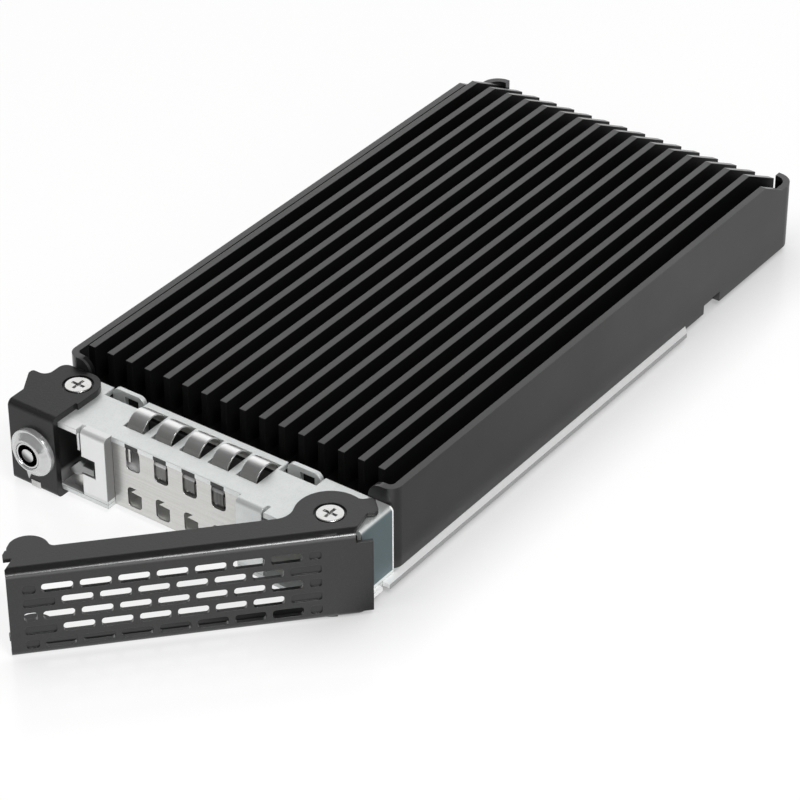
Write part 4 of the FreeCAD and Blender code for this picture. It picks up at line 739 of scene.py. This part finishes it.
shape = bmesh.new()
bmesh.ops.create_circle(shape, cap_ends=False, segments=WIRE_SIDES, radius=WIRE)
bmesh.ops.rotate(shape, cent=(0, 0, 0), matrix=upright, verts=shape.verts)
bmesh.ops.translate(shape, vec=start, verts=shape.verts)
bmesh.ops.spin(
    shape, geom=shape.verts[:] + shape.edges[:], cent=PIVOT, axis=(0, 0, 1), dvec=(0, 0, climb),
    angle=2 * math.pi * TURNS, steps=STEPS,
)
bmesh.ops.remove_doubles(shape, verts=shape.verts, dist=1e-7)
ends = [edge for edge in shape.edges if edge.is_boundary]
bmesh.ops.holes_fill(shape, edges=ends, sides=WIRE_SIDES)
pivot_coil = made("pivot_coil", shape, spring, "tray", 60)
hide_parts("handle_spring")


# Stage: a white floor that keeps a soft shadow and a weak gloss, plain studio light from the front
# right, and the photograph's camera. The right-hand wall reflects the floor beside it darker than
# the camera sees it, as in the photograph.

floor_mesh = bpy.data.meshes.new("floor")
shape = bmesh.new()
bmesh.ops.create_grid(shape, x_segments=1, y_segments=1, size=3.0)
bmesh.ops.translate(shape, vec=(0, 0, cad_box[0].z - 0.00002), verts=shape.verts)
shape.to_mesh(floor_mesh)
shape.free()
floor = bpy.data.objects.new("floor", floor_mesh)
bpy.context.scene.collection.objects.link(floor)

WALL_SIDE = (0.033, 0.037)
WALL_FRONT = (-0.015, -0.010)
WALL_LENGTH = (0.008, 0.110)
RIGHT_SIDE = (0.024, 0.034)
HANDLE_FRONT = (0.0325, 0.0345)
SHADOW_REACH = 0.0145
FLOOR_GLOW = 0.79

paper = Finish("white_paper")
by_camera, by_gloss, by_glass = (
    paper.node("ShaderNodeLightPath", out=f"Is {ray} Ray")
    for ray in ("Camera", "Glossy", "Transmission")
)
seen = paper.fit(by_camera + by_gloss + by_glass, 0, 1)
beside = paper.fit(paper.x, *WALL_SIDE) * paper.fit(paper.y, *WALL_FRONT)
shade = beside * paper.fit(paper.y, *WALL_LENGTH, 0.82, 0.52) * by_gloss
hidden = 1 - paper.node(
    "ShaderNodeAmbientOcclusion", {"samples": 12}, {"Distance": SHADOW_REACH}, "AO",
)
right_side = paper.fit(paper.x, *RIGHT_SIDE)
before_handle = paper.fit(FACE_X * paper.x + FACE_Y * paper.y, *HANDLE_FRONT)
contact = by_camera * hidden * (0.70 * right_side + 0.45 * before_handle * (1 - right_side))
white = paper.mix(seen, grey(0.75), grey(0.20))
matt = paper.node("ShaderNodeBsdfDiffuse", {}, {"Color": white})
glow = paper.node("ShaderNodeEmission", {}, {
    "Color": grey(1.0), "Strength": seen * FLOOR_GLOW * (1 - shade) * (1 - contact),
})
gloss = paper.node("ShaderNodeBsdfGlossy", {}, {"Color": grey(0.04), "Roughness": 0.20})
both = paper.node("ShaderNodeAddShader", {}, {0: matt, 1: glow})
surface = paper.node("ShaderNodeAddShader", {}, {0: both, 1: gloss})
paper.tree.links.new(surface.socket, paper.tree.nodes["Material Output"].inputs["Surface"])
floor_mesh.materials.append(paper.material)

DIFFUSE_SKY = 0.45

world = bpy.data.worlds.new("studio")
bpy.context.scene.world = world
world.use_nodes = True
sky = Network(world.node_tree)
side_ways, rear_ways, up_ways = sky.apart(sky.node("ShaderNodeTexCoord", out="Generated"))
mirrored = sky.fit(rear_ways, -0.45, 0.10, 0.16, 1.0) * sky.fit(side_ways, 0.15, 0.60, 1.0, 0.35)
mirrored = mirrored * sky.fit(up_ways, 0.82, 0.69, 0.03, 1.10)
by_camera = sky.node("ShaderNodeLightPath", out="Is Camera Ray")
by_gloss = sky.node("ShaderNodeLightPath", out="Is Glossy Ray")
level = by_camera + (1 - by_camera) * (by_gloss * mirrored + (1 - by_gloss) * DIFFUSE_SKY)
background = sky.tree.nodes["Background"]
background.inputs["Color"].default_value = grey(1.0)
sky.tree.links.new(level.socket, background.inputs["Strength"])

MIDDLE = Vector((0.0, 0.04, 0.008))


def soft_box(name, spot, side, watts):
    """A square studio lamp, turned to the object's middle."""
    lamp = bpy.data.lights.new(name, "AREA")
    lamp.shape = "SQUARE"
    lamp.size = side
    lamp.energy = watts
    box = bpy.data.objects.new(name, lamp)
    box.location = spot
    box.rotation_mode = "QUATERNION"
    box.rotation_quaternion = (MIDDLE - Vector(spot)).to_track_quat("-Z", "Y")
    bpy.context.scene.collection.objects.link(box)


soft_box("key_light", (0.44, -0.19, 0.70), 0.22, 3.4)
soft_box("front_light", (0.72, -0.58, 0.26), 0.6, 2.2)

CAMERA_TURN = math.radians(35.890)
CAMERA_TILT = math.radians(34.026)
CAMERA_ROLL = math.radians(-0.127)
CAMERA_SPOT = (0.28570, -0.34270, 0.32728)

lens = bpy.data.cameras.new("camera")
lens.sensor_width = 36.0
lens.lens = 145.852
lens.shift_x = -0.00931
lens.shift_y = -0.03521
lens.clip_start = 0.01
camera = bpy.data.objects.new("camera", lens)
back = Vector((
    math.sin(CAMERA_TURN) * math.cos(CAMERA_TILT),
    -math.cos(CAMERA_TURN) * math.cos(CAMERA_TILT),
    math.sin(CAMERA_TILT),
))
aim = (-back).to_track_quat("-Z", "Y").to_matrix().to_4x4()
roll = Matrix.Rotation(CAMERA_ROLL, 4, "Z")
camera.rotation_mode = "QUATERNION"
camera.rotation_quaternion = (aim @ roll).to_quaternion()
camera.location = CAMERA_SPOT
bpy.context.scene.collection.objects.link(camera)
bpy.context.scene.camera = camera
bpy.context.scene.view_settings.view_transform = "Standard"
